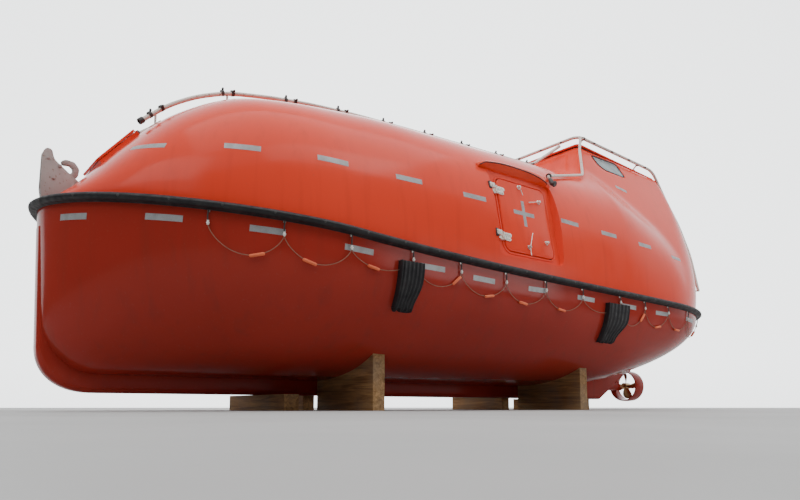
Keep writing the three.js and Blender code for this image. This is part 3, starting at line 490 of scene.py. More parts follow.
def rubber(name, amount=0.4):
    """Black rubber, dusty and slightly uneven."""
    p = Paint(name)
    base = p.stain((0.007, 0.006, 0.008), (0.05, 0.045, 0.044), p.noise(7, 6), 0.5, 0.75, amount)
    rough = p.spread(p.noise(22, 4), 0.3, 0.7, 0.42, 0.72)
    grain = p.bump(p.noise(160, 4), 0.25, 0.0015, p.bump(p.noise(9, 3), 0.2, 0.006))
    return p.done(base, rough, grain)


def tape(name):
    """Silver reflective tape with its small cells."""
    p = Paint(name)
    inputs = {"Vector": p.where["Object"], "Scale": 150.0}
    edge = p.spread(p.node("TexVoronoi", inputs, feature="DISTANCE_TO_EDGE").outputs[0], 0, 0.12)
    base = p.mix(edge, (0.3, 0.3, 0.3), (0.42, 0.43, 0.44))
    base = p.stain(base, (0.24, 0.2, 0.18), p.noise(14, 5), 0.45, 0.7, 0.55)
    rough = p.spread(p.noise(30, 3), 0.3, 0.7, 0.34, 0.52)
    return p.done(base, rough, p.bump(edge, 0.15, 0.0004), Metallic=0.25)


def metal(name, colour, stain, amount, rough=(0.24, 0.42), metallic=1.0):
    """Brushed metal with stained patches."""
    p = Paint(name)
    base = p.stain(colour, stain, p.noise(18, 6), 0.48, 0.72, amount)
    roughness = p.spread(p.noise(35, 5), 0.25, 0.75, *rough)
    brushed = p.bump(p.noise(90, 3, (1, 1, 6)), 0.08, 0.0005)
    return p.done(base, roughness, brushed, Metallic=metallic)


def painted(name, colour, chip, amount, rough=(0.35, 0.55), metallic=0.0):
    """Paint on metal, chipped and weathered."""
    p = Paint(name)
    soft = p.stain(colour, tuple(c * 0.8 for c in colour), p.noise(3.5, 4), 0.35, 0.7)
    chips = p.spread(p.noise(34, 7, rough=0.6), 0.6, 0.66)
    base = p.mix(p.math("MULTIPLY", chips, amount), soft, chip)
    roughness = p.spread(p.noise(25, 4), 0.3, 0.7, *rough)
    relief = p.bump(chips, 0.25, 0.0006, p.bump(p.noise(70, 3), 0.12, 0.0008))
    return p.done(base, roughness, relief, Metallic=metallic)


def timber(name):
    """Rough sawn softwood, grey and knotty, with its grain athwart the boat."""
    p = Paint(name)
    grain = p.noise(1.0, 8, (26, 1.6, 26), 0.8, 0.65)
    base = p.stain((0.22, 0.105, 0.035), (0.55, 0.33, 0.14), grain, 0.35, 0.65)
    base = p.stain(base, (0.13, 0.06, 0.025), p.noise(2.2, 2, (1, 0.7, 1.4)), 0.66, 0.74, 0.6)
    base = p.stain(base, (0.24, 0.21, 0.17), p.noise(3.0, 5), 0.45, 0.75, 0.45)
    rough = p.spread(grain, 0.3, 0.7, 0.72, 0.92)
    return p.done(base, rough, p.bump(grain, 0.5, 0.004))


def plain(name, colour, second, scale, rough, relief=0.1):
    """Two shades in fine patches."""
    p = Paint(name)
    base = p.stain(colour, second, p.noise(scale, 5), 0.3, 0.7)
    roughness = p.spread(p.noise(scale * 4, 4), 0.3, 0.7, *rough)
    return p.done(base, roughness, p.bump(p.noise(scale * 12, 3), relief, 0.001))


def window_glass(name):
    """Acrylic with a thin film of dirt."""
    p = Paint(name)
    film = p.spread(p.noise(5, 5), 0.35, 0.7)
    base = p.mix(film, (0.24, 0.31, 0.33), (0.42, 0.5, 0.53))
    return p.done(base, p.spread(film, 0, 1, 0.08, 0.24), Transmission_Weight=0.3)


# The third colour of each laminate is a painted highlight, the paler tint of its upward faces
CANOPY = laminate("canopy_laminate", (0.85, 0.067, 0.031), (0.77, 0.054, 0.025), (0.89, 0.088, 0.048))
# Painted shade: the hull has a darker copy of the canopy's laminate, for the shade that lies on it below the
# fender
SHADED_HULL = laminate("shaded_hull_laminate", (0.41, 0.037, 0.024), (0.34, 0.031, 0.02), (0.47, 0.05, 0.032), 0.2, 0.22)
# Painted highlight: the hood's upward faces are tinted a paler pink than the canopy's, for the sky lighting
# them
HOOD = laminate("hood_laminate", (0.82, 0.075, 0.028), (0.76, 0.062, 0.022), (0.86, 0.14, 0.08))
LINER = plain("pale_gelcoat", (0.66, 0.64, 0.58), (0.58, 0.56, 0.5), 3.0, (0.3, 0.45))
RUBBER = rubber("black_rubber")
SEAL_AND_SHADOW_RUBBER = rubber("seal_and_shadow_rubber", 0.15)
TAPE = tape("silver_tape")
STAINLESS = metal("stainless_steel", (0.62, 0.6, 0.57), (0.33, 0.24, 0.17), 0.35)
# Painted reflection: the door hardware's steel is paler and creamier than the stainless, for the bright sky
# it reflects
PALE_STEEL = metal("steel_with_painted_sky_reflection", (0.86, 0.82, 0.74), (0.5, 0.4, 0.3), 0.25, (0.22, 0.36), 0.55)
HOOK_STEEL = painted("hook_paint", (0.42, 0.36, 0.34), (0.2, 0.1, 0.06), 0.6, (0.5, 0.75), 0.1)
# Spray pipes: cream paint with a warm pink tint that is painted reflection of the orange canopy; the chips
# are wear
PIPE = painted("pipe_paint_and_reflection", (0.74, 0.66, 0.6), (0.3, 0.17, 0.1), 0.8, (0.3, 0.5), 0.15)
DARK = plain("dark_fitting", (0.028, 0.027, 0.028), (0.07, 0.065, 0.06), 20, (0.35, 0.6))
BRONZE = metal("bronze", (0.5, 0.32, 0.15), (0.2, 0.13, 0.08), 0.6)
ENGINE = painted("engine_enamel", (0.07, 0.11, 0.1), (0.02, 0.02, 0.02), 0.5)
TIMBER = timber("sawn_timber_across")
GLASS = window_glass("window_acrylic")
ROPE = plain("rope_fibre", (0.36, 0.17, 0.11), (0.26, 0.12, 0.08), 60, (0.75, 0.95), 0.6)
KNOT = plain("knot_cord", (0.95, 0.93, 0.88), (0.82, 0.8, 0.74), 60, (0.7, 0.9), 0.5)
FLOAT = plain("float_foam", (0.95, 0.2, 0.075), (0.85, 0.15, 0.055), 12, (0.5, 0.7), 0.4)

# Hull shell with its keel band, stern tube and the holes for shaft and stock

TO_X = Matrix.Rotation(pi / 2, 4, "Y")
SHAFT = Matrix.Translation((0, 0, SHAFT_Z)) @ TO_X
STOCK = Matrix.Translation((NOZZLE_X, 0, 0))
HULL_ANGLES = 97
STERN_TUBE_R, STERN_TUBE_AFT, STERN_TUBE_FORE = 0.075, -3.72, -2.6
SHAFT_HOLE_R, STOCK_HOLE_R = 0.0225, 0.0285


def superellipse_run(run, power, steps):
    return run * np.sin(np.linspace(0, pi / 2, steps)) ** (2 / power)


def lengthwise(inset, count, middle):
    """Stations from bow to stern, closer together towards both ends."""
    bow = (TIP - inset - BOW_RUN) + superellipse_run(BOW_RUN, BOW_POWER, count)
    aft = -(TIP - inset - STERN_RUN) - superellipse_run(STERN_RUN, STERN_POWER, count)
    return np.concatenate([bow[::-1], np.linspace(bow[0], aft[0], middle)[1:-1], aft])


def hull_rings(inset, count):
    x = lengthwise(inset, count, 26)[:, None]
    top = sheer(x) - 0.001
    low = np.minimum(bottom(x, inset), top)
    e = 2 / section_power(x, HULL_POWERS)
    a = np.linspace(0, pi, HULL_ANGLES)
    y = half_beam(x, inset) * np.sign(np.cos(a)) * np.abs(np.cos(a)) ** e
    y[:, HULL_ANGLES // 2] = 0
    z = top + (low - top) * np.abs(np.sin(a)) ** e
    return np.stack([np.broadcast_to(x, y.shape), y, z], 2)


def lengthened(rings, lift):
    """Rings with both their ends drawn up or down, so that a cutter stands out of its shell."""
    ends = rings[:, [0, -1]] + (0, 0, lift)
    return np.concatenate([ends[:, :1], rings, ends[:, 1:]], 1)


KEEL_LOW, KEEL_HALF, KEEL_ROUND = 0.15, 0.095, 0.045
keel_turn = np.linspace(0, pi / 2, 25)
stem_x = 3.75 + 0.465 * np.abs(np.cos(keel_turn)) ** (2 / 2.3)
stem_z = 0.55 - (0.55 - KEEL_LOW) * np.sin(keel_turn) ** (2 / 2.3)
KEEL_SIDE = [
    # x, z
    (4.246, 1.5), *zip(stem_x, stem_z), (-3.2, KEEL_LOW), (-3.78, 0.48), (-3.85, 0.8), (-2.4, 0.42),
    (3.3, 0.42), (3.7, 0.48), (4.0, 0.9), (4.12, 1.5),
]


def keel_band():
    """The keel's outline in side view, pushed across with its edges well rounded."""
    outline = np.array(KEEL_SIDE)
    u = outline - np.roll(outline, 1, 0)
    u /= np.linalg.norm(u, axis=1, keepdims=True)
    both = u + np.roll(u, -1, 0)
    normal = np.stack([-both[:, 1], both[:, 0]], 1)
    normal *= 2 / np.sum(normal**2, axis=1, keepdims=True)
    turn = [(KEEL_ROUND * (1 - sin(a)), KEEL_ROUND * (1 - cos(a))) for a in np.linspace(0, pi / 2, 6)]
    return pushed(outline, normal, turn, -KEEL_HALF, KEEL_HALF)


hull = skin(hull_rings(0, 40))
stern_tube = rod(STERN_TUBE_R, STERN_TUBE_AFT, STERN_TUBE_FORE, SHAFT, 40)
boolean(hull, keel_band(), stern_tube, operation="UNION")
hull_inside = skin(lengthened(hull_rings(HULL_WALL, 20), 0.08))
boolean(hull, hull_inside, rod(SHAFT_HOLE_R, -4.2, -2.0, SHAFT, 40), rod(STOCK_HOLE_R, 0.5, 1.2, STOCK))
dress("hull_shell", SHADED_HULL, "hull_shell", hull, replaces=("hull", "keel"))

# Canopy shell with the conning tower

# Between these the stations lie close together, over the tower's raked front
FRONT_FORE, FRONT_AFT = -1.3, -2.12


def canopy_rings(inset, count, angles):
    bow = (TIP - BOW_RUN) + superellipse_run(BOW_RUN, BOW_POWER, count)
    front = np.linspace(FRONT_FORE, FRONT_AFT, int(count * 0.95))
    aft = -(TIP - 0.001 - BASE_RUN) - superellipse_run(BASE_RUN, TOWER_POWER, int(count * 1.1))
    xs = np.concatenate([
        bow[::-1], np.linspace(bow[0], FRONT_FORE, 16)[1:-1], front,
        np.linspace(FRONT_AFT, aft[0], 7)[1:-1], aft,
    ]) * (TIP - inset) / TIP
    x = xs[:, None]
    a = np.linspace(0, pi, angles)
    across, up, base, size = np.cos(a), np.sin(a), sheer(x), (len(xs), angles)
    reach = furthest(
        lambda r: outside(x, r * across, base + r * up) < -inset, np.zeros(size), np.full(size, 3.2))
    if not inset:
        reach[:, 0] = reach[:, -1] = half_beam(xs)
    rings = np.stack([np.broadcast_to(x, size), reach * across, base + 0.001 + reach * up], 2)
    rings[:, angles // 2, 1] = 0
    return rings


PANEL_ANGLE = atan(0.178)
PANEL = Matrix((
    (-1, 0, 0, -0.015),
    (0, -sin(PANEL_ANGLE), cos(PANEL_ANGLE), 1.481),
    (0, cos(PANEL_ANGLE), sin(PANEL_ANGLE), 1.983),
    (0, 0, 0, 1),
))
PANEL_WIDTH, PANEL_HEIGHT = 0.96, 0.934
DOOR = moved(PANEL, 0.012, -0.003)
DOOR_WIDTH, DOOR_HEIGHT, DOOR_CORNER = 0.745, 0.8, 0.075
DOOR_GAP, DOOR_LAP, LEAF_PLAY = 0.006, 0.04, 0.002


def door_plate(margin, layers, corner=DOOR_CORNER, steps=8, closed=False):
    """A plate of the port door's outline with a margin round it."""
    width, height = DOOR_WIDTH + 2 * margin, DOOR_HEIGHT + 2 * margin
    return plate(width, height, corner, layers, DOOR, steps, closed)


def roof_z(x, up=0.0):
    return ROOF_Z + up + ROOF_FALL * (x - TOWER_FRONT)


# Each window: local frame, opening, and the wider outline of the recess round it, in millimetres
SIDE_WINDOW = (
    frame_at((-2.48, ROOF_HALF + SIDE_SLOPE * 0.155, ROOF_Z - 0.155), (-1, 0, 0), (0, 1, SIDE_SLOPE)),
    mm((-130, -140), (300, -150), (325, -130), (265, 90), (-270, 85), (-285, 60), (-245, -60)),
    mm((-150, -168), (318, -172), (340, -140), (280, 98), (-340, 96), (-365, 60), (-325, -85)),
)
FRONT_WINDOW = (
    frame_at((TOWER_FRONT + TOWER_RAKE * 0.135, -0.28, ROOF_Z - 0.135), (0, -1, 0), (1, 0, TOWER_RAKE)),
    mm((-220, -95), (220, -95), (250, -65), (250, 65), (220, 90), (-220, 90), (-250, 65), (-250, -65)),
    mm((-226, -105), (226, -105), (260, -70), (260, 70), (226, 100), (-226, 100), (-260, 70), (-260, -70)),
)
WINDOW_CORNER = 0.06
SEAL_PROFILE = mm((-13, -21), (-13, -5), (-9, -3), (2, -3), (4, -6), (4, -21))


def window_cut(window):
    matrix, *outlines = window
    opening, recess = (eased(outline, WINDOW_CORNER, 5, True) for outline in outlines)
    return stacked([(opening, -0.09), (opening, -0.012), (recess, 0.002), (recess, 0.06)], matrix)


def window_seal(window):
    """Rubber strip between a pane and its opening."""
    outline = eased(window[1], WINDOW_CORNER, 5, True)
    layers = [(outline + outward(outline) * offset, z) for offset, z in SEAL_PROFILE]
    return stacked(layers, window[0], closed=True)


FORE_HATCH_X, TOP_HATCH_X, TOP_RIM_HALF = 3.7, -2.82, 0.2803
FORE = frame_at((FORE_HATCH_X, 0, crown(FORE_HATCH_X)), (0.65, 0, -0.76), (0.76, 0, 0.65))
ROOF_TOP = frame_at((TOP_HATCH_X, 0, roof_z(TOP_HATCH_X, 0.045)), (-1, 0, 0), (-ROOF_FALL, 0, 1))
WELL_X, WELL_HALF, WELL_FLOOR, WELL_TOP = -3.64, 0.29, 1.76, 2.79
WELL = frame_at((WELL_X, 0, 2.45), (0, 0, -1), (-1, 0, 0))
AFT_OPENING, AFT_CORNER = 0.35, 0.05
# Low and high corner of each box that is cut
FORE_OPENING = (-0.2203, -0.2603, -0.2), (0.2203, 0.2603, 0.1)
ROOF_OPENING = (-3.5, -0.6, 3.2), (-2.15, 0.6, 3.7)
WELL_OPENING = (-4.6, -WELL_HALF, WELL_FLOOR), (WELL_X, WELL_HALF, WELL_TOP)
DOOR_SLAB = (-0.52, -0.495, -0.05), (0.52, 0.495, 0.16)

canopy = skin(canopy_rings(0, 44, 181))
inside = skin(lengthened(canopy_rings(CANOPY_WALL, 26, 81), -0.08))
# The inside keeps clear of the door panels and the stern well, so that walls are left there
door_slab = box(*DOOR_SLAB, PANEL)
well_low = (-4.6, -WELL_HALF - CANOPY_WALL, WELL_FLOOR - CANOPY_WALL)
well_high = (WELL_X + CANOPY_WALL, WELL_HALF + CANOPY_WALL, WELL_TOP + CANOPY_WALL)
boolean(inside, mirrored(door_slab), door_slab, box(well_low, well_high))
cuts = [inside]
for cut in (
    plate(PANEL_WIDTH, PANEL_HEIGHT, 0.06, [(0.0, 0.0), (-0.004, 0.012), (-0.05, 0.26)], PANEL),
    door_plate(DOOR_GAP, [(0, -0.026), (0, 0.04)], DOOR_CORNER + DOOR_GAP),
    door_plate(-DOOR_LAP, [(0, -0.12), (0, 0.04)]),
    window_cut(SIDE_WINDOW),
):
    cuts += [cut, mirrored(cut)]
boolean(
    canopy, *cuts, window_cut(FRONT_WINDOW),
    box(*ROOF_OPENING), box(*FORE_OPENING, FORE), box(*WELL_OPENING),
    plate(AFT_OPENING, AFT_OPENING, AFT_CORNER, [(0, -0.06), (0, 0.001)], WELL),
)
dress("canopy_shell", CANOPY, "canopy_shell", canopy, replaces=(
    "canopy_bow", "canopy_middle", "conning_tower", "door_surround_port", "door_surround_starboard",
    "stern_recess",
))

# Reflective tape

CANOPY_TAPE = mm(
    # start and end, each x and z
    (3710, 2097, 3535, 2071), (3177, 2067, 2928, 2056), (2496, 2050, 2221, 2044),
    (1725, 2047, 1429, 2056), (918, 2049, 614, 2054), (-536, 2050, -833, 2045),
    (-1255, 2034, -1545, 2030), (-2008, 2015, -2293, 2014), (-2834, 1980, -3125, 1985),
    (-2388, 2963, -2616, 2931),
)
HULL_TAPE = mm(
    # start and end, each x and z
    (4145, 1514, 4006, 1496), (3675, 1470, 3450, 1449), (3018, 1399, 2764, 1382),
    (2278, 1326, 1996, 1316), (1487, 1274, 1198, 1272), (840, 1245, 552, 1238),
    (66, 1226, -221, 1230), (-726, 1219, -1025, 1212), (-1545, 1206, -1831, 1201),
    (-2257, 1184, -2535, 1184), (-2990, 1171, -3275, 1163),
)
TAPE_WIDTH, TAPE_TOP, TAPE_UNDER = 0.05, 0.0016, -0.0012


def surface(x, z, half_width):
    """Points of the port side and their outward normals, for arrays of places."""
    d = 0.004
    slope_x = (half_width(x + d, z) - half_width(x - d, z)) / (2 * d)
    slope_z = (half_width(x, z + d) - half_width(x, z - d)) / (2 * d)
    normal = np.stack([-slope_x, np.ones(x.shape), -slope_z], -1)
    normal /= np.linalg.norm(normal, axis=-1, keepdims=True)
    return np.stack([x, half_width(x, z), z], -1), normal


def tape_strip(x0, z0, x1, z1, half_width):
    """A thin strip laid on the port side between two places."""
    x, z = np.linspace(x0, x1, 13), np.linspace(z0, z1, 13)
    points, normals = surface(x, z, half_width)
    across = np.cross(normals, points[-1] - points[0])
    across *= TAPE_WIDTH / np.linalg.norm(across, axis=1, keepdims=True)
    rows = []
    for lift, sign in ((TAPE_TOP, 1), (TAPE_UNDER, -1)):
        for w in np.linspace(-0.5, 0.5, 5) * sign:
            p, n = surface(x + across[:, 0] * w, z + across[:, 2] * w, half_width)
            rows.append(p + n * lift)
    return skin(np.stack(rows, 1))


for group, rows, half_width in (("canopy", CANOPY_TAPE, canopy_y), ("hull", HULL_TAPE, hull_y)):
    pair(f"tape_{group}", TAPE, None, *[tape_strip(*row, half_width) for row in rows])

# Fender round the gunwale, with its plugs

FENDER_EDGE = mm((-4, -39), (8, -39), (11, -36.5), (13, -34.5)).tolist()
FENDER_STEP, FENDER_OUT, FENDER_HALF = 0.015, 0.053, 0.0335
PLUG_FIRST, PLUG_STEP, PLUG_OUT = 0.2, 0.385, 0.0675
port_line = lengthwise(0, 60, 60)
port_plan = np.stack([port_line, half_beam(port_line)], 1)
plan = np.concatenate([port_plan, (port_plan * (1, -1))[::-1][1:-1]])
plan_out = outward(plan)
arc = [
    (FENDER_STEP + FENDER_OUT * cos(a), FENDER_HALF * sin(a))
    for a in np.linspace(-pi / 2, pi / 2, 15)
]
fender_profile = FENDER_EDGE + arc + [(n, -v) for n, v in reversed(FENDER_EDGE)]
rings = [[(*(at + out * n), sheer(at[0]) + v) for n, v in fender_profile] for at, out in zip(plan, plan_out)]
dress("fender_rubber", RUBBER, "rubber", skin(rings, closed=True), replaces=("fender",))
travel = np.concatenate([[0], np.cumsum(np.linalg.norm(np.diff(plan, axis=0), axis=1))])
plugs = []
for s in np.arange(PLUG_FIRST, travel[-1], PLUG_STEP):
    x, y, ox, oy = (np.interp(s, travel, column) for column in (*plan.T, *plan_out.T))
    place = frame_at((x + ox * PLUG_OUT, y + oy * PLUG_OUT, sheer(x)), (0, 0, 1), (ox, oy, 0))
    plugs.append(lathe(mm((11, -4), (11, 1.2), (9, 2.2), (1, 2.6)), place, 12))
dress("fender_plugs", DARK, "rubber", *plugs)

# Skids: ribbed rubber lying on the hull side, its lower edge worn

SKID_THICK, SKID_RIB, SKID_RIBS, SKID_LIP = 0.055, 0.0045, 6, 0.012
SKIDS = [
    # name, fore edge, aft edge, top, bottom, aft edge at the bottom
    ("skid_fore", 1.73, 1.47, 1.285, 0.865, 1.53),
    ("skid_aft", -1.23, -1.64, 1.205, 0.77, -1.51),
]
for name, fore, aft, top, low, heel in SKIDS:
    across = np.linspace(0, 1, 57)
    edge = spline([(0, aft), (0.25, aft), (0.5, aft + 0.012), (0.82, heel - 0.005), (1, heel)], 8)
    # Long waves and small bites
    worn = 0.016 * np.sin(across * 21 + fore) + 0.012 * np.abs(np.sin(across * 40 + 1.3))
    rib = SKID_RIB * np.clip(np.cos(across * pi * 2 * SKID_RIBS) * 2, -1, 1)
    lip = np.where(across < 0.07, SKID_LIP, 0)
    sides = np.where((across == 0) | (across == 1), -0.006, 0)
    rings = []
    for t in np.linspace(0, 1, 25):
        x = fore + (np.interp(t, edge[:, 0], edge[:, 1]) - fore) * across
        z = top - (top - low) * t + worn * t**4
        out = SKID_THICK - 0.008 + rib + lip + sides - 0.004 * (t in (0, 1))
        outer = np.stack([x, hull_y(x, z) + out, z], 1)
        inner = np.stack([x, hull_y(x, z) - 0.005, z], 1)
        rings.append(np.concatenate([outer, inner[::-1]]))
    pair(f"{name}_rubber", RUBBER, "rubber", skin(rings), angle=50, replaces=(name,))

# Lifelines in festoons with their floats

HANGS = mm(
    # x and z of each knot
    (3290, 1422), (2774, 1367), (2224, 1323), (1580, 1312), (1009, 1275), (407, 1247),
    (-187, 1235), (-799, 1225), (-1496, 1235), (-1998, 1211), (-2516, 1200), (-3018, 1168),
    (-3640, 1150),
)
FLOATS = mm(
    # x, z
    (2953, 1197), (2566, 1171), (1995, 1191), (1062, 1189), (626, 1093), (143, 1072),
    (-459, 1057), (-1350, 1123), (-1950, 1095), (-2314, 1016), (-2774, 1014), (-3560, 1042),
)
ROPE_R, DROPPER_R, SAG_SHAPE, UNDER_KNOT = 0.0036, 0.0058, 0.7, 0.012
# How far each stands off the hull, and how far to each side a float takes its lie
DROPPER_AWAY, ROPE_AWAY, FLOAT_AWAY, FLOAT_REACH = 0.02, 0.016, 0.018, 0.03
FOAM = mm((4, -60), (9, -59.5), (12.5, -54), (13.5, -40), (13.5, 40), (12.5, 54), (9, 59.5), (4, 60))
BULGES = mm((1, 20), (10, 17), (7.5, 8), (13, 3), (13.5, -4), (8, -9), (10.5, -15), (1, -20))


def off_hull(points, away):
    """Places (x, z) on the port side, stood off the hull."""
    p = np.array(points)
    q, n = surface(p[:, 0], p[:, 1], hull_y)
    return q + n * away


def droop(t):
    return (4 * t * (1 - t)) ** SAG_SHAPE


droppers, ropes, knots, floats, eyes = [], [], [], [], []
for x, z in HANGS:
    top = float(sheer(x)) - 0.04
    p = off_hull([(x, top), (x + 0.004, (top + z) / 2), (x, z)], DROPPER_AWAY)
    droppers.append(tube(p, DROPPER_R, 8))
    knots.append(lathe(BULGES, Matrix.Translation(Vector(p[2])), 12))
    (at,), (out,) = surface(np.array([x]), np.array([top - 0.004]), hull_y)
    eyes.append(plate(0.022, 0.022, 0.006, soft_edge(-0.002, 0.005, 0.002), frame_at(at, (1, 0, 0), out), 4))
for (x0, z0), (x1, z1), (fx, fz) in zip(HANGS, HANGS[1:], FLOATS):
    share = (x0 - fx) / (x0 - x1)
    sag = (z0 + (z1 - z0) * share - UNDER_KNOT - fz) / droop(share)
    t = (1 - np.cos(np.linspace(0, pi, 33))) / 2
    way = np.stack([x0 + (x1 - x0) * t, z0 - UNDER_KNOT + (z1 - z0) * t - sag * droop(t)], 1)
    ropes.append(tube(off_hull(way, ROPE_AWAY), ROPE_R, 8))
    places = (fx - FLOAT_REACH, fx, fx + FLOAT_REACH)
    near = off_hull([(x, np.interp(-x, -way[:, 0], way[:, 1])) for x in places], FLOAT_AWAY)
    floats.append(lathe(FOAM, facing(near[1], near[2] - near[0]), 20))
pair("lifeline", ROPE, None, *ropes)
pair("lifeline_knots", KNOT, None, *knots)
pair("lifeline_floats", FLOAT, None, *floats)
pair("lifeline_droppers", DARK, None, *droppers)
pair("lifeline_eyes", STAINLESS, "stainless", *eyes)

# Door surround: hood with its rubber edge, and the flange round the door

HOOD_FOOT = 0.47
HOOD_SPAN = [
    # along the panel, height of the lip, height of the top, how far it stands out
    (-0.6, 0.47, 0.5, 0.3), (-0.575, 0.482, 0.517, 0.7), (-0.52, 0.505, 0.532, 0.95),
    (-0.35, 0.53, 0.56, 1.0), (-0.19, 0.541, 0.574, 1.0), (0.075, 0.538, 0.588, 1.0),
    (0.24, 0.521, 0.588, 1.0), (0.345, 0.5, 0.587, 0.95), (0.42, 0.488, 0.584, 0.7),
    (0.455, 0.48, 0.58, 0.3),
]
HOOD_PROFILE = [
    # share of the way up to the lip, or above 1 on to the top, and height out of the panel
    (0.0, -0.03), (0.0, 0.008), (0.12, 0.022), (0.45, 0.046), (0.8, 0.063), (0.95, 0.069), (1.0, 0.071),
    (1.1, 0.071), (1.45, 0.066), (1.8, 0.055), (2.0, 0.042), (2.25, 0.01), (2.45, -0.03), (2.5, -0.07),
]


def hood_place(u, lip, top, out, share, height):
    v = HOOD_FOOT + (lip - HOOD_FOOT) * share if share <= 1 else lip + (top - lip) * (share - 1)
    return PANEL @ Vector((u, v, height * out if height > 0 else height))


hood_stations = spline(HOOD_SPAN, 6)
rings = [[hood_place(*station, *point) for point in HOOD_PROFILE] for station in hood_stations]
pair("hood", HOOD, "canopy_shell", skin(rings), angle=50)
edge = [hood_place(*station, 1.02, 0.07) for station in hood_stations[3:-3]]
pair("hood_edging", SEAL_AND_SHADOW_RUBBER, "rubber", tube(edge, 0.0058, 10))
# Inset from the edge of the door, and height
FLANGE = mm((-8, -4), (-8, 6), (-10, 8), (-26, 8), (-29, 5), (-30, -4))
GASKET = mm((4, -24), (4, -10), (-3, -7), (-5.5, -12), (-5.5, -24))
pair("door_flange", CANOPY, "canopy_shell", door_plate(0, FLANGE, closed=True))
pair("door_gasket", SEAL_AND_SHADOW_RUBBER, "rubber", door_plate(0, GASKET, closed=True))

# Side doors with straps, dogs and tape cross

leaf = door_plate(-LEAF_PLAY, soft_edge(-0.02, 0.015, 0.01), steps=10)
pair("door_leaf", CANOPY, "canopy_shell", leaf, body="side_door", replaces=("side_door",))
HINGE_U, HINGE_V, PIN_HEIGHT, PIN_R = -DOOR_WIDTH / 2 - 0.018, 0.255, 0.022, 0.006
TO_Y = Matrix.Rotation(-pi / 2, 4, "X")
# Plates: length, width, corner, low, high, edge, and their place along and across the strap
STRAP_PLATES = mm(
    (100, 48, 10, 14.2, 21.2, 3, 46, 0), (104, 44, 20, 14.2, 22.8, 3, 67.5, 21),
    (86, 38, 18, 14.2, 22.8, 3, 61, -24),
)
BRACKET_PLATES = mm(
    (100, 50, 8, 0.5, 13, 3, -55, 0), (14, 50, 5, 0.5, 84, 3, -92, 0), (70, 50, 6, 50, 84, 3, -116, 0),
    (50, 14, 3, 0.5, 22, 2, -20, -35), (50, 14, 3, 0.5, 22, 2, -20, 35),
)
END_PLATES = mm((34, 80, 8, 48, 79, 4, -142, 0))


def plates(table, place):
    return [
        plate(length, width, corner, soft_edge(low, high, edge), moved(place, x, y))
        for length, width, corner, low, high, edge, x, y in table
    ]


straps, brackets, ends = [], [], []
for v in (HINGE_V, -HINGE_V):
    place = moved(DOOR, HINGE_U, v)
    across = moved(place, 0, 0, PIN_HEIGHT) @ TO_Y
    straps += plates(STRAP_PLATES, place)
    straps.append(lathe(mm((6.6, -26), (12, -26), (12, 26), (6.6, 26)), across, 24, closed=True))
    for x, y in mm((38, 0), (90, 21), (80, -24)):
        straps.append(lathe(mm((7, 20), (7, 26.5), (5, 28.5), (1, 29)), moved(place, x, y), 6))
    brackets += [*plates(BRACKET_PLATES, place), rod(PIN_R, -0.044, 0.044, across, 16)]
    brackets += [rod(0.012, y - 0.007, y + 0.007, across, 20) for y in (-0.035, 0.035)]
    ends += plates(END_PLATES, place)
pair("door_straps", PALE_STEEL, "stainless", *straps, body="side_door")
pair("door_brackets", PALE_STEEL, "stainless", *brackets, replaces=("door_hinge_upper", "door_hinge_lower"))
pair("door_bracket_ends", DARK, None, *ends)
DOGS = [
    # along the door, up the door, turn of the lever in degrees, its length
    (-0.035, 0.358, -78, 0.1), (0.252, 0.243, 194, 0.19), (0.278, -0.223, 184, 0.062),
    (-0.02, -0.32, 68, 0.175), (-0.02, -0.32, 262, 0.098),
]
# Share of the lever's length, and its rise
LEVER = [(0, 0), (0.4, 0.001), (0.8, 0.004), (1, 0.006)]
BOSS = mm((24, 12), (24, 18), (17, 22), (15, 40), (11, 44), (1, 45))
dogs = []
for u, v, turn, length in DOGS:
    place = moved(DOOR, u, v)
    dogs.append(lathe(BOSS, place, 20))
    lever = moved(place @ Matrix.Rotation(radians(turn), 4, "Z"), 0, 0, 0.034)
    arm = [lever @ Vector((length * share, 0, up)) for share, up in LEVER]
    dogs.append(tube(eased(arm, 0.02), 0.0046, 12))
pair("door_dogs", PALE_STEEL, "stainless", *dogs, body="side_door")
CROSS = moved(DOOR, -0.0135, 0.06)
cross = [
    plate(width, height, 0.002, [(0, 0.014), (0, top)], CROSS, 2)
    for width, height, top in ((0.045, 0.29, 0.0161), (0.316, 0.045, 0.0166))
]
pair("door_cross", TAPE, None, *cross, body="side_door")

# Conning tower: roof moulding, a dark band painted as the shadow under its lip, and window seals

ROOF_CORNER = 0.06
# Heights are measured from the falling roof
ROOF_PLANE = Matrix(((1, 0, 0, 0), (0, 1, 0, 0), (ROOF_FALL, 0, 1, roof_z(0)), (0, 0, 0, 1)))


def tower_outline(inset):
    """Plan of the tower at roof level, its front corners rounded."""
    half, aft, run = tower_level(ROOF_Z)
    bend = aft + run
    half, run, corner = half - inset, run - inset, TOWER_FRONT - inset - ROOF_CORNER
    side = [
        (corner + ROOF_CORNER * sin(a), half - ROOF_CORNER + ROOF_CORNER * cos(a))
        for a in np.linspace(pi / 2, 0, 7)
    ]
    side += [(bend + (corner - bend) * t, half) for t in np.linspace(0.95, 0.05, 12)]
    e = 2 / TOWER_POWER
    side += [
        (bend - run * sin(a) ** e, half * cos(a) ** e)
        for a in np.linspace(0, pi / 2, 25)[:-1]
    ]
    return side + [(bend - run, 0)] + [(x, -y) for x, y in reversed(side)]


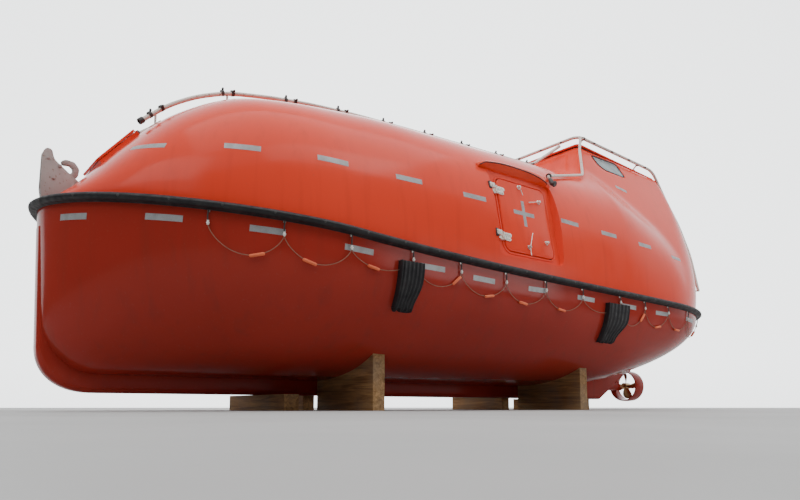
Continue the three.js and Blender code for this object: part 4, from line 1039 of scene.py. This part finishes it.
# Height and inset
ROOF_LAYERS = mm(
    (0.5, -12), (0.5, -24), (3, -27.5), (8, -28), (20, -27), (26, -21), (34, 0), (41, 12), (45, 22),
)
roof = stacked([(tower_outline(inset), up) for up, inset in ROOF_LAYERS], ROOF_PLANE)
hole = box((-TOP_RIM_HALF, -TOP_RIM_HALF, -0.2), (TOP_RIM_HALF, TOP_RIM_HALF, 0.2), ROOF_TOP)
boolean(roof, hole)
dress("tower_roof_moulding", CANOPY, "canopy_shell", roof, replaces=("tower_roof",))
# Painted shadow: a dark rubber bead tucked under the moulding's lip, where its shadow falls
band = [ROOF_PLANE @ Vector((x, y, -0.006)) for x, y in tower_outline(-0.006)]
dress("roof_lip_shadow_band", SEAL_AND_SHADOW_RUBBER, "rubber", tube(band, 0.0062, 8, closed=True))
pair("side_window_seal", SEAL_AND_SHADOW_RUBBER, "rubber", window_seal(SIDE_WINDOW))
dress("front_window_seal", SEAL_AND_SHADOW_RUBBER, "rubber", window_seal(FRONT_WINDOW))

# Spray pipes with feet, clamps and nozzles

PIPE_R, FOOT_R = 0.02, 0.01
RIDGE = mm(
    # x, y, height over the crown
    (3560, 340, 95), (3330, 340, 95), (3080, 340, 95), (2800, 360, 100),
    (2400, 420, 102), (2000, 480, 90), (1500, 500, 82), (700, 500, 82),
    (-400, 500, 75), (-1300, 500, 75),
)
RIDGE_FEET = [3.44, 2.8, 2.19, 1.62, 1.05, 0.47, -0.1, -0.68, -1.25]
FOOT_SPREAD, SLOPE_STEP = 0.048, 0.02
HOOP_X, HOOP_Z, HOOP_HALF, HOOP_FALL, HOOP_STAND = -1.88, 3.6, 0.805, 0.052, 0.08
QUARTER = radians(42)


def collar(at, along, radius, half=0.012):
    """A clamp round a pipe."""
    outline = ((-0.003, -1), (0.004, -1), (0.005, -0.6), (0.005, 0.6), (0.004, 1), (-0.003, 1))
    return lathe([(radius + out, half * v) for out, v in outline], facing(at, along), 20, closed=True)


def nozzle(at, out):
    """A small spray nozzle on a pipe."""
    return lathe(mm((8, 12), (8, 30), (11, 31), (11, 44), (6, 52)), facing(at, out), 12)


def ridge_point(x):
    """A point on the port ridge pipe."""
    stations, ys, rises = RIDGE[::-1].T
    return Vector((x, np.interp(x, stations, ys), crown(x) + np.interp(x, stations, rises)))


ridge_points = [ridge_point(x) for x, _, _ in RIDGE] + [Vector((HOOP_X, 0.5, 3.555))]
ridge = [tube(eased(ridge_points, 0.12, 9), PIPE_R, 18)]
clamps = [collar(ridge_points[0], ridge_points[0] - ridge_points[1], PIPE_R + 0.003, 0.022)]
for x in RIDGE_FEET:
    top = ridge_point(x)
    z, d = canopy_z(x, top.y), SLOPE_STEP
    slope_x = (canopy_z(x + d, top.y) - canopy_z(x - d, top.y)) / (2 * d)
    slope_y = (canopy_z(x, top.y + d) - canopy_z(x, top.y - d)) / (2 * d)
    base = frame_at((x, top.y, z - 0.004), (1, 0, slope_x), (-slope_x, -slope_y, 1))
    ridge.append(plate(0.11, 0.07, 0.012, soft_edge(-0.012, 0.01, 0.003), base, 4))
    ridge.append(tube([(x, top.y, z - 0.01), top - Vector((0, 0, 0.01))], FOOT_R, 12))
    fore = ridge_point(min(x + FOOT_SPREAD, RIDGE[0][0] - 0.02))
    aft = ridge_point(max(x - FOOT_SPREAD, RIDGE[-1][0]))
    clamps += [collar(at, fore - aft, PIPE_R + 0.004, 0.014) for at in (fore, aft)]
    clamps += [nozzle(fore, (0.0, 0.25, 0.95)), nozzle(aft, (0.0, 0.95, 0.2))]
pair("ridge_pipe_fine", PIPE, "spray_pipe", *ridge, replaces=("ridge_pipe",))
pair("ridge_clamps", DARK, None, *clamps)


def quarter_point(z, stand):
    """A point on the aft quarter of the tower, stood off it."""
    half, aft, run = tower_level(z)
    u, v, e = sin(QUARTER), cos(QUARTER), 2 / TOWER_POWER
    return Vector((aft + run - run * u**e - stand * u, half * v**e + stand * v, z + stand * 0.3))


def hoop_place(x):
    return Vector((x, HOOP_HALF, HOOP_Z + HOOP_FALL * (x - HOOP_X)))


leg = [quarter_point(z, HOOP_STAND) for z in (1.65, 2.2, 2.7, 3.1)]
hoop_side = leg + [(-3.62, 0.815, 3.51), hoop_place(HOOP_X)]
hoop_points = hoop_side + [(x, -y, z) for x, y, z in reversed(hoop_side)]
hoop = tube(eased(hoop_points, 0.13, 10), PIPE_R, 18)
feet, clamps = [], []
for x in (-2.0, -3.25):
    at = hoop_place(x)
    inner_z = at.z - HOOP_Z + ROOF_Z
    feet.append(tube([at, (x - 0.02, 0.7, inner_z + 0.03)], FOOT_R, 12))
    pad = frame_at((x - 0.02, 0.725, inner_z + 0.045), (1, 0, 0), (0, 0.35, 1))
    feet.append(lathe(mm((28, -6), (28, 4), (12, 8)), pad, 16))
    clamps.append(collar(at, (1, 0, HOOP_FALL), PIPE_R))
for z in (1.66, 2.45, 3.05):
    outer, inner = quarter_point(z, HOOP_STAND), quarter_point(z, -0.03)
    feet.append(tube([outer, inner], FOOT_R, 12))
    pad = frame_at(inner.lerp(outer, 0.3), (0, 0, 1), outer - inner)
    feet.append(lathe(mm((26, -4), (26, 6), (12, 10)), pad, 16))
clamps += [nozzle(hoop_place(x), (0, 0.9, -0.4)) for x in (-2.2, -2.6, -3.0, -3.4)]
clamps += [nozzle((HOOP_X, y, HOOP_Z), (0.9, 0, -0.4)) for y in (0.2, 0.55)]
feet += [mirrored(foot) for foot in feet]
clamps += [mirrored(clamp) for clamp in clamps]
dress("tower_hoop_fine", PIPE, "spray_pipe", hoop, *feet, replaces=("tower_hoop",))
dress("hoop_clamps", DARK, None, *clamps)


def front_corner(z):
    """A point off the corner between the tower's front and its port side."""
    below, away = ROOF_Z - z, 0.06
    return TOWER_FRONT + TOWER_RAKE * below + away, ROOF_HALF + SIDE_SLOPE * below + away, z


branch_end = Vector((-0.56, 1.38, 2.6))
branch_points = [
    (-1.92, HOOP_HALF, HOOP_Z - 0.004), (HOOP_X, 0.845, HOOP_Z - 0.06),
    front_corner(3.38), front_corner(2.915), branch_end,
]
branch = tube(eased(branch_points, 0.07, 9), PIPE_R - 0.003, 16)
away = Vector((0.12, 0.84, 0.53)).normalized()
foot_at = Vector((-0.59, 1.372, 2.612))
foot = tube([foot_at, foot_at - away * 0.13], FOOT_R, 12)
pair("branch_pipe_fine", PIPE, "spray_pipe", branch, foot, replaces=("branch_pipe",))
down = Vector((0.12, 0.45, -0.85)).normalized()
end = branch_end - away * 0.002
valve_at = end + down * 0.085
wheel_at = valve_at + Vector((0.012, 0.055, -0.045))
pair("branch_elbow", PIPE, "spray_pipe",
     tube([end, end + Vector((0.028, 0.012, -0.02)), valve_at - down * 0.03], 0.0165, 14))
pair(
    "branch_valve", DARK, None,
    lathe(mm((18, -8), (32, -8), (32, 8), (18, 8)), frame_at(end, (0, 0, 1), (0.77, 0.23, -0.3)), 20, True),
    lathe(mm((20, -45), (26, -20), (26, 20), (20, 45)), frame_at(valve_at, (1, 0, 0), down), 20),
    tube([valve_at, valve_at + Vector((0.011, 0.05, -0.041))], 0.007, 10),
    lathe(mm((28, -14), (34, -5), (34, 5), (28, 14)), frame_at(wheel_at, (1, 0, 0), (-0.2, 0.8, -0.45)), 24),
)

# Lifting hooks

# Outlines in millimetres from a zero 40 mm under the pin, x towards the boat's own end and z
CHEEK = mm(
    (70, -210), (95, -60), (90, 250), (60, 290), (20, 280), (0, 200), (-110, 110), (-230, 20), (-230, -210),
)
CHEEK_BASE = mm((70, -210), (95, -60), (-230, -60), (-230, -210))
HOOK = mm(
    (30, 60), (30, 0), (-30, -20), (-120, 40), (-190, 90), (-200, 160), (-160, 215), (-90, 225), (-50, 200),
    (-70, 170), (-120, 178), (-148, 150), (-140, 112), (-90, 100), (-30, 105),
)
CHEEK_IN, CHEEK_OUT, PIN_OUT = 0.025, 0.037, 0.045
PIN_Z, HOOK_PIN_R, HOOK_BORE_R = 0.04, 0.014, 0.0147
# Place and radius of each bolt
HOOK_BOLTS = mm((-45, 150, 10), (-150, -10, 12), (45, 200, 8))
HOOKS = [
    # name, 1 at the bow or -1 at the stern, x and z of the zero
    ("fore_hook", 1, 4.155, 1.89),
    ("aft_hook", -1, -3.98, 1.91),
]


def side_plate(outline, y0, y1, corner, edge=0.003):
    """An outline of (x, z) pushed across, its corners and edges rounded."""
    outline = eased(outline, corner, 5, True)
    turn = [(edge, 0), (edge * 0.3, edge * 0.3), (0, edge)]
    return pushed(outline, outward(outline), turn, y0, y1)


for name, sign, x0, z0 in HOOKS:
    zero, way = np.array((x0, z0)), np.array((sign, 1))
    cheek, base, outline = (zero + way * shape for shape in (CHEEK, CHEEK_BASE, HOOK))
    across = Matrix.Translation((x0, 0, z0)) @ Matrix.Rotation(pi / 2, 4, "X")
    half_pin = [(HOOK_PIN_R, PIN_OUT - 0.001), (0.001, PIN_OUT)]
    pin = [(r, -h) for r, h in reversed(half_pin)] + half_pin
    stand = [
        side_plate(cheek, CHEEK_IN, CHEEK_OUT, 0.03),
        side_plate(cheek, -CHEEK_OUT, -CHEEK_IN, 0.03),
        side_plate(base, 0.001 - CHEEK_OUT, CHEEK_OUT - 0.001, 0.004),
        lathe(pin, moved(across, 0, PIN_Z), 20),
    ]
    for x, z, r in HOOK_BOLTS:
        for side in (1, -1):
            head = [(r * 1.5, CHEEK_OUT - 0.002), (r * 1.5, CHEEK_OUT + 0.006), (r, PIN_OUT)]
            stand.append(lathe([(w, h * side) for w, h in head], moved(across, sign * x, z), 6))
    dress(f"{name}_plates", HOOK_STEEL, "hook_steel", *stand, replaces=(f"{name}_stand",))
    hook = side_plate(outline, 0.006 - CHEEK_IN, CHEEK_IN - 0.006, 0.02, 0.006)
    boolean(hook, rod(HOOK_BORE_R, -0.1, 0.1, moved(across, 0, PIN_Z), 24))
    dress(f"{name}_forged", HOOK_STEEL, "hook_steel", hook, body=name, replaces=(name,))

# Propeller and steering nozzle

DUCT = spline(mm(
    (227, -110), (234, -30), (235.5, 33), (232, 104), (226, 112), (218, 108), (208, 50), (205, 0),
    (209, -60), (212, -106), (219, -112), (227, -110),
), 4)[:-1]
STOCK_R, STOCK_TOP = 0.028, 1.0
duct = lathe(DUCT, moved(SHAFT, 0, 0, NOZZLE_X), 72, closed=True)
stock = rod(STOCK_R, SHAFT_Z + 0.223, STOCK_TOP, STOCK)
boss = box((-0.06, -0.045, SHAFT_Z + 0.222), (0.06, 0.045, SHAFT_Z + 0.262), STOCK, 0.012)
# The nozzle takes the hull's darker laminate, which is painted shade
dress("nozzle_duct", SHADED_HULL, "hull_shell", duct, stock, boss,
      body="steering_nozzle", replaces=("steering_nozzle",))

BLADE_X, BLADES, BLADE_R, BLADE_SKEW, BLADE_CAMBER = -4.0, 4, 0.19, -0.025, 0.004
BLADE = [
    # radius, chord, pitch in degrees, thickness
    (0.03, 0.07, 62, 0.007), (0.06, 0.098, 54, 0.006), (0.1, 0.124, 46, 0.005),
    (0.145, 0.13, 37, 0.004), (0.18, 0.096, 31, 0.003), (0.192, 0.04, 30, 0.0015),
]
HUB = mm(
    (1, -95), (16, -93), (34, -80), (45, -60), (48, -30), (48, 72), (44, 78), (22, 80), (22, 1579),
    (1, 1580),
)


def blade(turn):
    """One propeller blade as a loft of thin sections."""
    spin = Matrix.Translation((BLADE_X, 0, SHAFT_Z)) @ Matrix.Rotation(turn, 4, "X")
    rings = []
    for r, chord, pitch, thick in spline(BLADE, 4):
        u, v = sin(radians(pitch)), cos(radians(pitch))
        ring = []
        for a in np.arange(20) * 2 * pi / 20:
            c = cos(a)
            t = sin(a) * thick * (1 - 0.35 * c) + BLADE_CAMBER * (1 - c * c)
            s = c * chord / 2 + BLADE_SKEW * (r / BLADE_R) ** 2
            ring.append(spin @ Vector((s * u + t * v, s * v - t * u, r)))
        rings.append(ring)
    return skin(rings)


hub = lathe(HUB, moved(SHAFT, 0, 0, BLADE_X), 40)
dress("hub", BRONZE, "propeller_bronze", hub, *[blade(2 * pi / BLADES * k) for k in range(BLADES)],
      body="propeller", replaces=("propeller",))

# Solids kept from the frame: edges softened and given their finish

KEPT = [
    # finish, bevel, how the nodes' names start; the first row that fits holds
    (STAINLESS, 0.002, ("fore_hatch_hinge", "aft_hatch_hinge", "top_hatch_hinge")),
    (CANOPY, 0.005, ("fore_hatch_rim",)), (CANOPY, 0.006, ("top_hatch_rim",)),
    (CANOPY, 0.004, ("fore_hatch", "top_hatch", "aft_hatch")),
    (GLASS, 0.001, ("tower_side_window", "tower_front_window")), (TIMBER, 0.004, ("chock",)),
    (TIMBER, 0.006, ("bearer",)), (ENGINE, 0.03, ("engine",)), (LINER, 0.003, ("floor",)),
    (LINER, 0.012, ("bench",)), (LINER, 0.02, ("helm_seat",)),
]
for node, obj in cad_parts.items():
    fitting = [row for row in KEPT if node.startswith(row[2])]
    if fitting and not obj.hide_render:
        material, width, _ = fitting[0]
        bevel = obj.modifiers.new("edges", "BEVEL")
        bevel.width, bevel.segments, bevel.angle_limit = width, 2, radians(35)
        obj.data.materials.clear()
        obj.data.materials.append(material)

# Camera, light and floor

FLOOR = (-60, 60)
sheet = skin([[(x, y, 0) for y in FLOOR] for x in FLOOR], around=False)
paint = Paint("floor_paint")
sheet.data.materials.append(paint.done(
    paint.stain((0.38, 0.38, 0.375), (0.44, 0.44, 0.435), paint.noise(0.8, 6), 0.3, 0.7),
    paint.spread(paint.noise(3, 4), 0.3, 0.7, 0.6, 0.8),
))
sheet.name = "studio_floor"

HEADING, PITCH, EYE = radians(37.861), radians(6.275), (5.1543, 6.0198, 0.03)
camera_data = bpy.data.cameras.new("camera")
camera = link(camera_data, "camera")
bpy.context.scene.camera = camera
camera_data.sensor_width = 36
camera_data.lens = 29.82
camera_data.shift_y = 0.1056
camera_data.clip_end = 500
level = cos(PITCH)
forward = Vector((-sin(HEADING) * level, -cos(HEADING) * level, sin(PITCH)))
right = Vector((-cos(HEADING), sin(HEADING), 0))
turned = Matrix((right, right.cross(forward), -forward)).transposed().to_4x4()
camera.matrix_world = Matrix.Translation(EYE) @ turned

SKY = [
    # place on the ramp (0.5 is the horizon, 1 overhead), brightness
    (0.49, 1.4), (0.53, 1.55), (0.62, 1.55), (0.8, 1.58), (1.0, 1.68),
]
world = bpy.data.worlds.new("studio")
bpy.context.scene.world = world
world.use_nodes = True
sky = Nodes(world.node_tree)
place = sky.where["Generated"]
height = sky.node("SeparateXYZ", {0: place}).outputs["Z"]
ramp = sky.node("ValToRGB", {"Fac": sky.spread(height, -1, 1)})
stops = ramp.color_ramp.elements
for i, (where, level) in enumerate(SKY):
    stop = stops.new(where) if i else stops[0]
    stop.position = where
    stop.color = (level * 0.965, level * 0.99, level, 1)
stops.remove(stops[-1])
# Brighter beyond the boat than beside it, a little dimmer in reflections and brighter behind the boat
toward = sky.node("VectorMath", {0: place, 1: (-0.61, -0.79, 0)}, operation="DOT_PRODUCT")
strength = sky.spread(toward.outputs["Value"], 0.1, 0.9, 1.0, 1.7)
path = sky.node("LightPath").outputs
for ray, share in (("Is Glossy Ray", -0.3), ("Is Camera Ray", 0.25)):
    strength = sky.math("MULTIPLY", strength, sky.math("MULTIPLY_ADD", path[ray], share, 1))
background = sky.tree.nodes["Background"].inputs
sky.put(background["Color"], ramp.outputs["Color"])
sky.put(background["Strength"], strength)

# Dark screens behind the camera, reflected in the side of the boat and not seen by the camera
SCREENS = [
    # low corner and high corner of each
    ((-22.0, 13.0, 0.02), (-18.5, 13.01, 12.5)),
    ((-18.5, 13.0, 0.02), (-14.0, 13.01, 10.0)),
    ((-14.0, 13.0, 0.02), (16.0, 13.01, 13.5)),
    ((16.0, -16.0, 0.02), (16.01, 13.01, 8.0)),
]
paint = Paint("screen_cloth")
cloth = paint.done(
    paint.mix(paint.noise(0.7, 4), (0.05, 0.052, 0.055), (0.075, 0.075, 0.08)),
    paint.spread(paint.noise(5), 0, 1, 0.8, 1.0),
)
for i, corners in enumerate(SCREENS):
    screen = box(*corners)
    screen.name = f"studio_screen_{i}"
    screen.data.materials.append(cloth)
    screen.visible_camera = False

LIGHTS = [
    # name, place, what it points at, its two sides, power
    ("overhead", (1, 3, 11), (0, 0, 1.5), (14, 8), 500),
    ("far_side", (-4, -8, 7), (-1, 0, 2), (9, 6), 200),
    ("aft_low", (-7, 10, 2.5), (-2, 1.5, 1), (5, 3), 160),
    ("front_high", (13, 5, 11), (0, 0.5, 2), (8, 5), 300),
    ("port_high", (-2, 12.8, 17), (-1, 1.6, 1), (18, 5), 620),
]
for name, place, target, sides, power in LIGHTS:
    data = bpy.data.lights.new(name, "AREA")
    data.shape, data.energy = "RECTANGLE", power
    data.size, data.size_y = sides
    light = link(data, name)
    light.location = place
    light.rotation_mode = "QUATERNION"
    light.rotation_quaternion = (Vector(target) - Vector(place)).to_track_quat("-Z", "Y")
